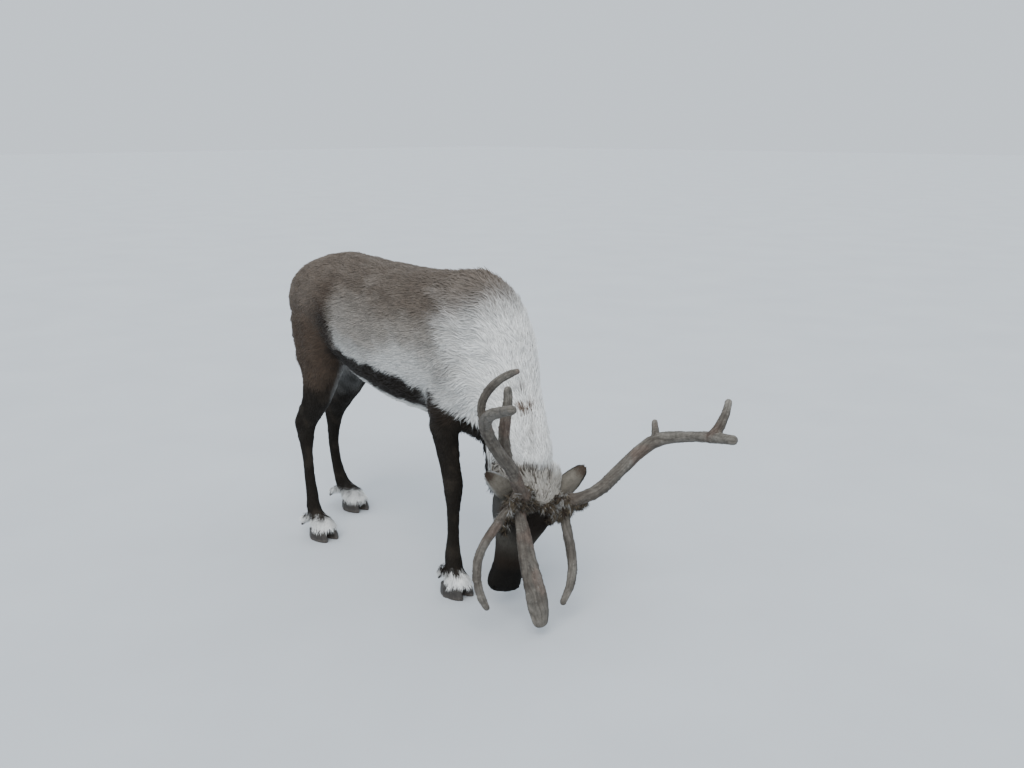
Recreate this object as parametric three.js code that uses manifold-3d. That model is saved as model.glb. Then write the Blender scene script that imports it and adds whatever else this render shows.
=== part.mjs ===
// A reindeer bull at life size, standing with its head down to the ground.
// Millimetres, +Z up. While the animal is built, +X is its heading, +Y its left side, and the
// ground point under its withers is the origin. The last lines move the whole model so that the
// origin is the middle of its footprint.
import * as THREE from "three";
import { mergeVertices } from "three/addons/utils/BufferGeometryUtils.js";
import Module from "manifold-3d";

const wasm = await Module();
wasm.setup();

// Driving sizes
const WITHERS = 1075;
const GAP = 0.3;
const HALF_GAP = GAP / 2;
const FAR = 3000;
const FORELEG_CUT = 580;
const HINDLEG_CUT = 700;
const CORONET = 42;
const EYE_RADIUS = 17;
const EAR_LENGTH = 128;
const EAR_WIDTH = 68;
const EAR_SHEET = 6;

// Sides round each kind of body
const TORSO_SIDES = 22;
const NECK_SIDES = 22;
const HEAD_SIDES = 24;
const LEG_SIDES = 12;
const BEAM_SIDES = 9;
const TINE_SIDES = 7;

// Colours
const COAT_BROWN = 0x6b5c50;
const COAT_GREY = 0xa8a49c;
const COAT_DARK = 0x3a302a;
const COAT_WHITE = 0xd2cfc8;
const ANTLER = 0x7d6f60;
const HORN_BLACK = 0x24201d;
const EYE_BLACK = 0x15110f;

const vec = (x, y, z) => new THREE.Vector3(x, y, z);
const clamp01 = (value) => Math.min(1, Math.max(0, value));

// A small seeded random source, so that each build gives the same model
function randomSource(seed) {
  let state = seed;
  return () => {
    state = (state * 1664525 + 1013904223) % 4294967296;
    return state / 4294967296;
  };
}

// Rows of numbers are read as smooth curves: row(t) gives every column at t, from 0 to 1
function curveThrough(rows) {
  const last = rows.length - 1;
  const slope = (i, column) => {
    const before = rows[Math.max(0, i - 1)][column];
    const after = rows[Math.min(last, i + 1)][column];
    return (after - before) / 2;
  };
  return (t) => {
    const place = clamp01(t) * last;
    const i = Math.min(last - 1, Math.floor(place));
    const u = place - i;
    const h1 = 2 * u ** 3 - 3 * u ** 2 + 1;
    const h2 = u ** 3 - 2 * u ** 2 + u;
    const h3 = 3 * u ** 2 - 2 * u ** 3;
    const h4 = u ** 3 - u ** 2;
    return rows[i].map((value, column) =>
      h1 * value + h2 * slope(i, column) + h3 * rows[i + 1][column] + h4 * slope(i + 1, column));
  };
}

function circleAngles(count) {
  return Array.from({ length: count }, (_, i) => (i / count) * 2 * Math.PI);
}

function signedVolume(points, faces) {
  let total = 0;
  for (let i = 0; i < faces.length; i += 3) {
    const [a, b, c] = [points[faces[i]], points[faces[i + 1]], points[faces[i + 2]]];
    total += a.dot(new THREE.Vector3().crossVectors(b, c)) / 6;
  }
  return total;
}

function solidFromFaces(points, faces) {
  const order = signedVolume(points, faces) < 0 ? [...faces].reverse() : faces;
  const vertProperties = new Float32Array(points.flatMap((p) => [p.x, p.y, p.z]));
  return new wasm.Manifold(new wasm.Mesh({
    numProp: 3, vertProperties, triVerts: new Uint32Array(order),
  }));
}

function solidFromGeometry(geometry) {
  geometry.deleteAttribute("normal");
  geometry.deleteAttribute("uv");
  const merged = mergeVertices(geometry, 1e-4);
  const position = merged.attributes.position;
  const points = [];
  for (let i = 0; i < position.count; i++) {
    points.push(new THREE.Vector3().fromBufferAttribute(position, i));
  }
  return solidFromFaces(points, [...merged.index.array]);
}

// A closed body through a row of rings, each ring with the same number of points
function solidFromRings(rings) {
  const count = rings[0].length;
  const points = rings.flat();
  const faces = [];
  for (let r = 0; r + 1 < rings.length; r++) {
    for (let i = 0; i < count; i++) {
      const a = r * count + i;
      const b = r * count + (i + 1) % count;
      faces.push(a, b, b + count, a, b + count, a + count);
    }
  }
  for (const [ring, flip] of [[0, true], [rings.length - 1, false]]) {
    const middle = new THREE.Vector3();
    rings[ring].forEach((p) => middle.addScaledVector(p, 1 / count));
    const pole = points.length;
    points.push(middle);
    for (let i = 0; i < count; i++) {
      const a = ring * count + i;
      const b = ring * count + (i + 1) % count;
      faces.push(...(flip ? [b, a, pole] : [a, b, pole]));
    }
  }
  return solidFromFaces(points, faces);
}

// A closed loop of rings, such as a rim
function solidFromLoop(rings) {
  const count = rings[0].length;
  const faces = [];
  for (let r = 0; r < rings.length; r++) {
    for (let k = 0; k < count; k++) {
      const nextRing = ((r + 1) % rings.length) * count;
      const a = r * count + k;
      const b = r * count + (k + 1) % count;
      const c = nextRing + k;
      const d = nextRing + (k + 1) % count;
      faces.push(a, b, d, a, d, c);
    }
  }
  return solidFromFaces(rings.flat(), faces);
}

// Half of space: everything on the side of the point that the normal points to
function halfSpace(point, normal) {
  const direction = normal.clone().normalize();
  const box = new THREE.BoxGeometry(FAR, FAR, FAR);
  box.applyQuaternion(new THREE.Quaternion().setFromUnitVectors(vec(0, 0, 1), direction));
  const middle = point.clone().addScaledVector(direction, FAR / 2);
  box.translate(middle.x, middle.y, middle.z);
  return solidFromGeometry(box);
}

// The two sides of a thin plane cut, each half a gap away from the plane
function planeCut(point, normal) {
  const direction = normal.clone().normalize();
  const ahead = point.clone().addScaledVector(direction, HALF_GAP);
  const behind = point.clone().addScaledVector(direction, -HALF_GAP);
  return { ahead: halfSpace(ahead, direction), behind: halfSpace(behind, direction.clone().negate()) };
}

function join(solids) {
  return solids.reduce((whole, solid) => whole.add(solid));
}

function largestPiece(solid) {
  const pieces = solid.decompose();
  return pieces.reduce((best, piece) => (piece.volume() > best.volume() ? piece : best));
}

// Torso: each row is x, top, bottom and half the width
const TORSO_ROWS = [
  [-958, 950, 850, 44],
  [-934, 992, 806, 92],
  [-890, 1024, 772, 134],
  [-815, 1056, 744, 164],
  [-720, 1077, 712, 180],
  [-615, 1074, 664, 190],
  [-500, 1064, 612, 202],
  [-380, 1057, 580, 214],
  [-260, 1054, 564, 216],
  [-140, 1060, 552, 206],
  [-40, WITHERS, 530, 188],
  [36, 1052, 496, 166],
  [92, 990, 502, 140],
  [140, 906, 562, 102],
  [168, 840, 662, 54],
];
const TORSO_RINGS = 24;
const WIDEST_LEVEL = 0.46;
const TORSO_SQUARENESS = 0.9;

function torsoRing([x, top, bottom, halfWidth], outset) {
  const middle = bottom + (top - bottom) * WIDEST_LEVEL;
  const ring = [];
  for (let i = 0; i < TORSO_SIDES; i++) {
    const angle = (i / TORSO_SIDES) * 2 * Math.PI;
    const across = Math.sign(Math.cos(angle)) * Math.abs(Math.cos(angle)) ** TORSO_SQUARENESS;
    const height = (Math.sin(angle) > 0 ? top - middle : middle - bottom) + outset;
    ring.push(vec(x, (halfWidth + outset) * across, middle + height * Math.sin(angle)));
  }
  return ring;
}

function makeTorsoCore(outset) {
  const rows = curveThrough(TORSO_ROWS);
  const rings = [];
  for (let i = 0; i <= TORSO_RINGS; i++) {
    rings.push(torsoRing(rows(i / TORSO_RINGS), outset));
  }
  return solidFromRings(rings);
}

// Legs: each row is x, y, z of the middle, then the fore-and-aft and the sideways radius
const FORELEG_ROWS = [
  [-60, 96, 930, 52, 36],
  [-45, 116, 850, 84, 58],
  [-28, 132, 765, 100, 62],
  [-38, 138, 690, 92, 56],
  [-48, 140, 620, 72, 48],
  [-44, 140, 545, 52, 40],
  [-30, 140, 470, 38, 34],
  [-18, 140, 420, 38, 32],
  [-11, 140, 385, 40, 31],
  [-11, 140, 340, 32, 27],
  [-12, 140, 285, 23, 22],
  [-13, 140, 220, 22, 20],
  [-15, 140, 165, 26, 23],
  [-16, 140, 124, 33, 28],
  [-10, 140, 88, 30, 30],
  [-4, 140, 62, 40, 40],
  [4, 140, 40, 50, 46],
  [4, 140, 30, 50, 46],
];
const LEFT_FORELEG_SHIFT = vec(20, -10, 0);

const RIGHT_HINDLEG_ROWS = [
  [-750, 88, 985, 92, 48],
  [-748, 98, 900, 142, 72],
  [-739, 106, 815, 153, 78],
  [-731, 112, 735, 137, 74],
  [-725, 116, 655, 103, 62],
  [-732, 121, 590, 76, 52],
  [-752, 125, 530, 60, 44],
  [-790, 128, 475, 48, 36],
  [-818, 130, 434, 54, 34],
  [-818, 130, 392, 42, 29],
  [-814, 130, 340, 29, 23],
  [-810, 130, 280, 26, 20],
  [-800, 130, 205, 25, 20],
  [-791, 130, 150, 26, 23],
  [-787, 130, 110, 30, 28],
  [-771, 130, 78, 29, 31],
  [-746, 130, 58, 38, 40],
  [-728, 130, 40, 50, 46],
  [-728, 130, 30, 50, 46],
];
const LEFT_HINDLEG_ROWS = [
  [-765, 88, 985, 92, 48],
  [-770, 98, 900, 142, 72],
  [-771, 106, 815, 147, 78],
  [-786, 114, 735, 126, 74],
  [-814, 122, 655, 98, 62],
  [-850, 129, 585, 74, 52],
  [-898, 136, 515, 60, 44],
  [-958, 142, 450, 48, 36],
  [-1000, 146, 406, 54, 34],
  [-1006, 148, 364, 42, 29],
  [-1016, 150, 310, 28, 23],
  [-1022, 152, 255, 26, 20],
  [-1012, 154, 190, 25, 20],
  [-998, 154, 145, 26, 23],
  [-982, 154, 108, 30, 28],
  [-954, 154, 78, 30, 31],
  [-914, 154, 58, 37, 40],
  [-892, 154, 40, 50, 46],
  [-892, 154, 30, 50, 46],
];
const LEG_RINGS = 22;

function makeLegCore(rows, side, shift) {
  const curve = curveThrough(rows);
  const middleAt = (t) => {
    const [x, y, z] = curve(t);
    return vec(x, y * side, z).add(shift);
  };
  const rings = [];
  for (let i = 0; i <= LEG_RINGS; i++) {
    const t = i / LEG_RINGS;
    const [, , , along, across] = curve(t);
    const step = 0.5 / LEG_RINGS;
    const down = middleAt(t + step).sub(middleAt(t - step)).setY(0).normalize();
    const forward = vec(-down.z, 0, down.x);
    const flat = i === LEG_RINGS ? vec(1, 0, 0) : forward;
    const ring = [];
    for (let k = 0; k < LEG_SIDES; k++) {
      const angle = (k / LEG_SIDES) * 2 * Math.PI;
      const point = middleAt(t).addScaledVector(flat, along * Math.cos(angle));
      point.y += across * Math.sin(angle);
      ring.push(point);
    }
    rings.push(ring);
  }
  return solidFromRings(rings);
}

// Hooves: two broad claws to a foot, and two dew claws behind the pastern
const HOOF_LENGTH = 108;
const HOOF_WIDTH = 46;
const HOOF_SPLAY = 0.1;
const HOOF_OUTER_SHARE = 0.66;
const HOOF_INNER_SHARE = 0.34;
const HOOF_TOE_TAPER = 0.22;
const HOOF_OFFSET = 18.5;
// Up a hoof: the height, the share of its full outline and how far it is set back
const HOOF_RINGS = [
  [0, 0.94, 0],
  [4, 1, 0],
  [22, 0.95, -3],
  [CORONET - HALF_GAP, 0.86, -7],
];
const HOOF_SIDES = 10;
const DEWCLAW_LENGTH = 42;
const DEWCLAW_RADIUS = 12;
const DEWCLAW_SIDES = 6;
const DEWCLAW_FLATNESS = 0.8;
const DEWCLAW_CUT = 0.32;
const DEWCLAW_AIM = [-0.5, 0.25, -0.83];
const DEWCLAW_ROOT = [-24, 16, -42];
const DEWCLAW_PROFILE = [[-0.4, 0.9], [0, 1], [0.5, 0.92], [0.85, 0.6], [1, 0.22]];

function makeHoof(foot, side) {
  const rings = HOOF_RINGS.map(([z, scale, back]) => {
    const ring = [];
    for (let i = 0; i < HOOF_SIDES; i++) {
      const angle = (i / HOOF_SIDES) * 2 * Math.PI;
      const along = (HOOF_LENGTH / 2) * scale * Math.cos(angle);
      const share = Math.sin(angle) > 0 ? HOOF_OUTER_SHARE : HOOF_INNER_SHARE;
      const taper = 1 - HOOF_TOE_TAPER * Math.cos(angle);
      const across = HOOF_WIDTH * scale * share * Math.sin(angle) * taper;
      const point = vec(along + back, side * (across + HOOF_OFFSET), z);
      point.applyAxisAngle(vec(0, 0, 1), side * HOOF_SPLAY);
      ring.push(point.add(foot));
    }
    return ring;
  });
  return solidFromRings(rings);
}

function makeDewclaw(root, side) {
  const outward = vec(DEWCLAW_AIM[0], side * DEWCLAW_AIM[1], DEWCLAW_AIM[2]).normalize();
  const across = vec(0, 1, 0);
  const lift = new THREE.Vector3().crossVectors(outward, across).normalize();
  const rings = DEWCLAW_PROFILE.map(([t, scale]) => {
    const middle = root.clone().addScaledVector(outward, t * DEWCLAW_LENGTH);
    return circleAngles(DEWCLAW_SIDES).map((angle) => {
      return middle.clone()
        .addScaledVector(across, DEWCLAW_RADIUS * scale * Math.cos(angle))
        .addScaledVector(lift, DEWCLAW_RADIUS * DEWCLAW_FLATNESS * scale * Math.sin(angle));
    });
  });
  const cutPlace = root.clone().addScaledVector(outward, DEWCLAW_LENGTH * DEWCLAW_CUT);
  return { whole: solidFromRings(rings), cut: planeCut(cutPlace, outward) };
}

// Neck: each row is x, y, z of the middle, then the crest, throat and sideways radius
const NECK_ROWS = [
  [-90, 0, 850, 190, 190, 120],
  [-18, 0, 848, 206, 200, 148],
  [46, 0, 804, 158, 186, 144],
  [88, 0, 742, 120, 164, 128],
  [120, -2, 672, 98, 138, 114],
  [148, -8, 598, 101, 124, 106],
  [172, -18, 524, 112, 124, 102],
  [194, -28, 462, 114, 116, 98],
  [206, -34, 416, 92, 90, 88],
  [212, -38, 384, 66, 64, 68],
];
const NECK_RINGS = 22;
const NECK_STEP = 0.02;
const neckCurve = curveThrough(NECK_ROWS);

function neckFrame(t) {
  const [x, y, z, crest, throat, across] = neckCurve(t);
  const ahead = neckCurve(t + NECK_STEP);
  const before = neckCurve(t - NECK_STEP);
  const along = vec(ahead[0] - before[0], ahead[1] - before[1], ahead[2] - before[2]).normalize();
  const left = vec(0, 1, 0).addScaledVector(along, -along.y).normalize();
  const up = new THREE.Vector3().crossVectors(along, left);
  return { middle: vec(x, y, z), along, left, up, crest, throat, across };
}

function neckPoint(t, angle, outset = 0) {
  const { middle, left, up, crest, throat, across } = neckFrame(t);
  const height = (Math.sin(angle) > 0 ? crest : throat) + outset;
  return middle.clone()
    .addScaledVector(left, (across + outset) * Math.cos(angle))
    .addScaledVector(up, height * Math.sin(angle));
}

function neckRing(t, outset) {
  const ring = [];
  for (let i = 0; i < NECK_SIDES; i++) {
    ring.push(neckPoint(t, (i / NECK_SIDES) * 2 * Math.PI, outset));
  }
  return ring;
}

function makeNeckBody(outset) {
  const rings = [];
  for (let i = 0; i <= NECK_RINGS; i++) {
    rings.push(neckRing(i / NECK_RINGS, outset));
  }
  return solidFromRings(rings);
}

// Throat mane: flat tapered locks that hang from the underside of the neck
const MANE_ROWS = 7;
const MANE_LOCKS = 5;
const MANE_START = 0.53;
const MANE_END = 0.84;
const MANE_SPREAD = 1.05;
const MANE_LENGTH = 92;
const MANE_WIDTH = 40;
const MANE_THICKNESS = 11;
const MANE_ROOT_DEPTH = 4;
const MANE_ANGLE_JITTER = 0.12;
const MANE_SHORTEST = 0.8;
const MANE_LENGTH_JITTER = 0.35;
const MANE_SIDE_SHORTENING = 0.35;
const MANE_FALL = vec(-0.2, 0, -0.5);
const LOCK_SIDES = 6;

// Along a lock: the share of its length, and the share of its width there
const LOCK_PROFILE = [[-0.28, 0.8], [0.12, 1], [0.45, 0.82], [0.78, 0.46], [1, 0.1]];
const LOCK_STAND = 0.62;
const LOCK_BEND = 0.34;
const LOCK_LEAN = 0.22;
const LOCK_FALL = 0.82;
const LOCK_TURN_AT_ROOT = 0.3;
const LOCK_TURN_MORE = 0.3;

function makeLock(root, outward, along, across, length) {
  const rings = LOCK_PROFILE.map(([t, scale]) => {
    const fall = t > 0 ? t * t : 0;
    const middle = root.clone()
      .addScaledVector(outward, length * (LOCK_STAND * t - LOCK_BEND * fall))
      .addScaledVector(along, length * (LOCK_FALL * fall + LOCK_LEAN * t));
    const turn = LOCK_TURN_AT_ROOT + LOCK_TURN_MORE * t;
    const normal = outward.clone().lerp(along.clone().negate(), turn).normalize();
    return circleAngles(LOCK_SIDES).map((angle) => {
      return middle.clone()
        .addScaledVector(across, (MANE_WIDTH / 2) * scale * Math.cos(angle))
        .addScaledVector(normal, (MANE_THICKNESS / 2) * scale * Math.sin(angle));
    });
  });
  return solidFromRings(rings);
}

function makeMane() {
  const random = randomSource(7);
  const locks = [];
  for (let row = 0; row < MANE_ROWS; row++) {
    for (let k = 0; k < MANE_LOCKS; k++) {
      const t = MANE_START + (MANE_END - MANE_START) * (row + 0.5 * (k % 2)) / MANE_ROWS;
      const spread = (2 * k) / (MANE_LOCKS - 1) - 1;
      const jitter = (random() - 0.5) * MANE_ANGLE_JITTER;
      const angle = -Math.PI / 2 + spread * MANE_SPREAD + jitter;
      const root = neckPoint(t, angle, -MANE_ROOT_DEPTH);
      const { middle, along } = neckFrame(t);
      const outward = root.clone().sub(middle).normalize();
      const fall = along.clone().add(MANE_FALL).normalize();
      const across = new THREE.Vector3().crossVectors(outward, fall).normalize();
      const variation = MANE_SHORTEST + MANE_LENGTH_JITTER * random();
      const length = MANE_LENGTH * variation * (1 - MANE_SIDE_SHORTENING * Math.abs(spread));
      locks.push(makeLock(root, outward, fall, across, length));
    }
  }
  return locks;
}

// Head: its own frame, from the poll down the face, across to the animal's left, and out of the
// forehead. It hangs turned to the animal's right and tilted to that side.
const POLL = vec(300, -39, 417);
const HEAD_TURN = THREE.MathUtils.degToRad(16.5);
const HEAD_NOD = THREE.MathUtils.degToRad(3);
const HEAD_TILT = THREE.MathUtils.degToRad(15.8);
const FACE_DOWN = vec(-Math.sin(HEAD_NOD) * Math.cos(HEAD_TURN) * Math.cos(HEAD_TILT)
    - Math.sin(HEAD_TURN) * Math.sin(HEAD_TILT),
  Math.sin(HEAD_NOD) * Math.sin(HEAD_TURN) * Math.cos(HEAD_TILT)
    - Math.cos(HEAD_TURN) * Math.sin(HEAD_TILT),
  -Math.cos(HEAD_NOD) * Math.cos(HEAD_TILT)).normalize();
const FACE_OUT = vec(Math.cos(HEAD_NOD) * Math.cos(HEAD_TURN),
  -Math.cos(HEAD_NOD) * Math.sin(HEAD_TURN), -Math.sin(HEAD_NOD)).normalize();
const FACE_LEFT = new THREE.Vector3().crossVectors(FACE_OUT, FACE_DOWN).normalize();

// A point given down the face, to the left, and out of the forehead
function onHead(down, left, out) {
  return POLL.clone()
    .addScaledVector(FACE_DOWN, down)
    .addScaledVector(FACE_LEFT, left)
    .addScaledVector(FACE_OUT, out);
}

function headDirection(down, left, out) {
  return onHead(down, left, out).sub(POLL).normalize();
}

// Each head row is the distance down the face, the forehead line, the jaw line and half the width
const HEAD_ROWS = [
  [-70, -10, -120, 66],
  [-35, 4, -164, 88],
  [0, 10, -188, 94],
  [40, 12, -200, 95],
  [80, 8, -200, 94],
  [120, -2, -190, 88],
  [160, -14, -172, 78],
  [200, -25, -152, 67],
  [240, -34, -136, 58],
  [280, -40, -125, 53],
  [315, -45, -118, 54],
  [345, -51, -113, 55],
  [368, -60, -104, 49],
  [384, -74, -92, 28],
];
const HEAD_RINGS = 30;
const headCurve = curveThrough(HEAD_ROWS);

// Bumps that shape the head: where on it, how far they spread, and how far they stand out
const HEAD_BUMPS = [
  { at: [112, 80, -38], spread: 26, rise: 9 },
  { at: [150, 66, -52], spread: 30, rise: 4 },
  { at: [120, 74, -105], spread: 42, rise: 5 },
  { at: [205, 58, -66], spread: 26, rise: -4 },
  { at: [352, 46, -74], spread: 20, rise: 5 },
  { at: [338, 40, -108], spread: 18, rise: 4 },
];

const HEAD_WIDEST_LEVEL = 0.58;
const HEAD_SQUARENESS = 0.84;

function squared(value) {
  return Math.sign(value) * Math.abs(value) ** HEAD_SQUARENESS;
}

function headPoint(t, angle, outset = 0) {
  const [down, top, bottom, halfWidth] = headCurve(t);
  const middle = bottom + (top - bottom) * HEAD_WIDEST_LEVEL;
  const height = (Math.sin(angle) > 0 ? top - middle : middle - bottom) + outset;
  const left = (halfWidth + outset) * squared(Math.cos(angle));
  const out = middle + height * squared(Math.sin(angle));
  const place = vec(down, left, out);
  const outward = vec(0, Math.cos(angle), Math.sin(angle));
  for (const { at, spread, rise } of HEAD_BUMPS) {
    for (const side of [-1, 1]) {
      const centre = vec(at[0], at[1] * side, at[2]);
      const weight = Math.exp(-centre.distanceToSquared(place) / (spread * spread));
      place.addScaledVector(outward, rise * weight);
    }
  }
  return onHead(place.x, place.y, place.z);
}

function makeHeadCore(outset) {
  const rings = [];
  for (let i = 0; i <= HEAD_RINGS; i++) {
    const t = i / HEAD_RINGS;
    const ring = [];
    for (let k = 0; k < HEAD_SIDES; k++) {
      ring.push(headPoint(t, (k / HEAD_SIDES) * 2 * Math.PI, outset));
    }
    rings.push(ring);
  }
  return solidFromRings(rings);
}

// A tube ends in smaller rings: how many end radii ahead of its last point, and their share of its radius
const TUBE_END = [[0.5, 0.82], [0.78, 0.45]];

// A tube along a smooth path through points, with a radius for each point
function makeTube({ points, radii, flatten = 1, flatAxis = vec(0, 0, 1), sides, steps, grow = 0 }) {
  const path = new THREE.CatmullRomCurve3(points, false, "centripetal");
  const radiusCurve = curveThrough(radii.map((r) => [r]));
  const frames = path.computeFrenetFrames(steps, false);
  const last = points.length - 1;
  const rings = [];
  const addRing = (i, t, distance, scale) => {
    const radius = (radiusCurve(t)[0] + grow) * scale;
    const tangent = frames.tangents[i];
    const wide = flatAxis.clone().addScaledVector(tangent, -flatAxis.dot(tangent)).normalize();
    const thin = new THREE.Vector3().crossVectors(tangent, wide);
    const middle = path.getPoint(t).addScaledVector(tangent, distance);
    const ring = [];
    for (let k = 0; k < sides; k++) {
      const angle = (k / sides) * 2 * Math.PI;
      ring.push(middle.clone()
        .addScaledVector(wide, radius * Math.cos(angle))
        .addScaledVector(thin, radius * flatten * Math.sin(angle)));
    }
    rings.push(ring);
  };
  const endRadius = radii[last] + grow;
  for (let i = 0; i <= steps; i++) {
    addRing(i, path.getUtoTmapping(i / steps), 0, 1);
  }
  for (const [distance, scale] of TUBE_END) {
    addRing(steps, 1, endRadius * distance, scale);
  }
  return solidFromRings(rings);
}

// Eyes, with lids round them
const EYE_PLACE = [114, 82, -42];
const EYE_AIM = [0, 0.88, 0.47];
const EYE_SEGMENTS = [12, 8];
const LID_SEGMENTS = 14;
const LID_HALF_LENGTH = 18;
const LID_HALF_HEIGHT = 11.5;
const LID_SLANT = 3;
const LID_RADIUS = 4.4;
const LID_SIDES = 6;

function makeEye(side, grow) {
  const sphere = new THREE.SphereGeometry(EYE_RADIUS + grow, ...EYE_SEGMENTS);
  const middle = onHead(EYE_PLACE[0], EYE_PLACE[1] * side, EYE_PLACE[2]);
  sphere.translate(middle.x, middle.y, middle.z);
  return solidFromGeometry(sphere);
}

// A ring of skin laid on the eyeball: highest over its middle, lowest at the two corners
function makeLids(side) {
  const [down, left, out] = EYE_PLACE;
  const middle = onHead(down, left * side, out);
  const outward = headDirection(EYE_AIM[0], side * EYE_AIM[1], EYE_AIM[2]);
  const lengthwise = headDirection(1, 0, 0);
  const upward = new THREE.Vector3().crossVectors(lengthwise, outward).multiplyScalar(-side).normalize();
  const points = circleAngles(LID_SEGMENTS).map((angle) => {
    const along = LID_HALF_LENGTH * Math.cos(angle);
    const lift = LID_HALF_HEIGHT * Math.sin(angle) - LID_SLANT * Math.cos(angle);
    const height = Math.sqrt(Math.max(0, (EYE_RADIUS + LID_RADIUS / 2) ** 2 - along ** 2 - lift ** 2));
    return middle.clone()
      .addScaledVector(lengthwise, along)
      .addScaledVector(upward, lift)
      .addScaledVector(outward, height);
  });
  const rings = points.map((point, i) => {
    const next = points[(i + 1) % LID_SEGMENTS];
    const previous = points[(i + LID_SEGMENTS - 1) % LID_SEGMENTS];
    const tangent = next.clone().sub(previous).normalize();
    const across = new THREE.Vector3().crossVectors(tangent, outward).normalize();
    const square = new THREE.Vector3().crossVectors(across, tangent);
    return circleAngles(LID_SIDES).map((turn) => point.clone()
      .addScaledVector(square, LID_RADIUS * Math.cos(turn))
      .addScaledVector(across, LID_RADIUS * Math.sin(turn)));
  });
  return solidFromLoop(rings);
}

// Nostrils and the mouth line are cut into the muzzle
const NOSTRIL_PLACE = [358, 41, -66];
const NOSTRIL_SIZE = [9, 6, 15];
const NOSTRIL_AIM = [0.45, 0.2, 0.6];
const NOSTRIL_SEGMENTS = [8, 6];

function makeNostril(side) {
  const [down, left, out] = NOSTRIL_PLACE;
  const hollow = new THREE.SphereGeometry(1, ...NOSTRIL_SEGMENTS);
  hollow.scale(...NOSTRIL_SIZE);
  const aim = headDirection(NOSTRIL_AIM[0], side * NOSTRIL_AIM[1], NOSTRIL_AIM[2]);
  hollow.applyQuaternion(new THREE.Quaternion().setFromUnitVectors(vec(0, 0, 1), aim));
  const middle = onHead(down, side * left, out);
  hollow.translate(middle.x, middle.y, middle.z);
  return solidFromGeometry(hollow);
}

// The mouth line runs on the surface from one corner round the front of the lips to the other:
// each entry is the place along the head and how far below the muzzle's side it lies
const MOUTH_TRACK = [[0.735, 0.3], [0.79, 0.48], [0.85, 0.56], [0.91, 0.56], [0.96, 0.5]];
const MOUTH_FRONT = [385, 0, -90];
const MOUTH_RADII = [2, 3, 3.4, 3.8, 4.2, 4.6, 4.2, 3.8, 3.4, 3, 2];
const MOUTH_SIDES = 6;
const MOUTH_STEPS = 16;

function makeMouthLine() {
  const right = MOUTH_TRACK.map(([t, drop]) => headPoint(t, Math.PI + drop));
  const left = MOUTH_TRACK.map(([t, drop]) => headPoint(t, -drop)).reverse();
  return makeTube({
    points: [...right, onHead(...MOUTH_FRONT), ...left],
    radii: MOUTH_RADII,
    sides: MOUTH_SIDES,
    steps: MOUTH_STEPS,
    flatAxis: FACE_OUT,
  });
}

// Ears: a cupped leaf. Both are turned back, the right one less, so that its hollow faces outwards.
const EAR_PLACES = {
  left: { root: [20, 82, -34], tip: [-84, 178, -54], open: [0.62, 0.42, -0.66] },
  right: { root: [50, -84, -60], tip: [-6, -194, -48], open: [0.35, 0.15, -0.9] },
};
const EAR_RINGS = 12;
const EAR_POINTS = 7;
const EAR_CUT = 12;
const EAR_EDGE_THINNING = 0.45;
const EAR_HOLLOW_WIDTH = 0.94;

// Up the ear: the share of its length, of its width, how deep it is cupped, and its thickness
const EAR_PROFILE = [
  [-0.16, 0.56, 0.3, 1.6],
  [0, 0.66, 0.36, 1.4],
  [0.2, 0.94, 0.4, 1.15],
  [0.45, 0.98, 0.34, 1],
  [0.7, 0.82, 0.24, 1],
  [0.89, 0.6, 0.16, 1],
  [1, 0.26, 0.06, 0.8],
];

function makeEar({ root, tip, open }) {
  const start = onHead(...root);
  const axis = onHead(...tip).sub(start).normalize();
  const facing = headDirection(...open);
  facing.addScaledVector(axis, -facing.dot(axis)).normalize();
  const across = new THREE.Vector3().crossVectors(axis, facing);
  const profile = curveThrough(EAR_PROFILE);
  const rings = [];
  for (let i = 0; i <= EAR_RINGS; i++) {
    const [place, width, cup, sheet] = profile(i / EAR_RINGS);
    const middle = start.clone().addScaledVector(axis, place * EAR_LENGTH);
    const half = (EAR_WIDTH / 2) * width;
    const depth = EAR_WIDTH * cup * width;
    const back = [];
    const hollow = [];
    for (let k = 0; k < EAR_POINTS; k++) {
      const s = -1 + (2 * k) / (EAR_POINTS - 1);
      const bend = depth * (1 - s * s);
      const thickness = EAR_SHEET * sheet * (1 - EAR_EDGE_THINNING * s * s);
      back.push(middle.clone().addScaledVector(across, half * s).addScaledVector(facing, -bend));
      hollow.unshift(middle.clone()
        .addScaledVector(across, half * s * EAR_HOLLOW_WIDTH)
        .addScaledVector(facing, thickness - bend));
    }
    rings.push([...back, ...hollow]);
  }
  const cutPlace = start.clone().addScaledVector(axis, EAR_CUT);
  return { whole: solidFromRings(rings), cut: planeCut(cutPlace, axis) };
}

// Antlers: every branch is a path on the head's frame with a radius at each point
// The burr lies this far along the first step of the beam's points
const BURR_PLACE = 0.75;

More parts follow.
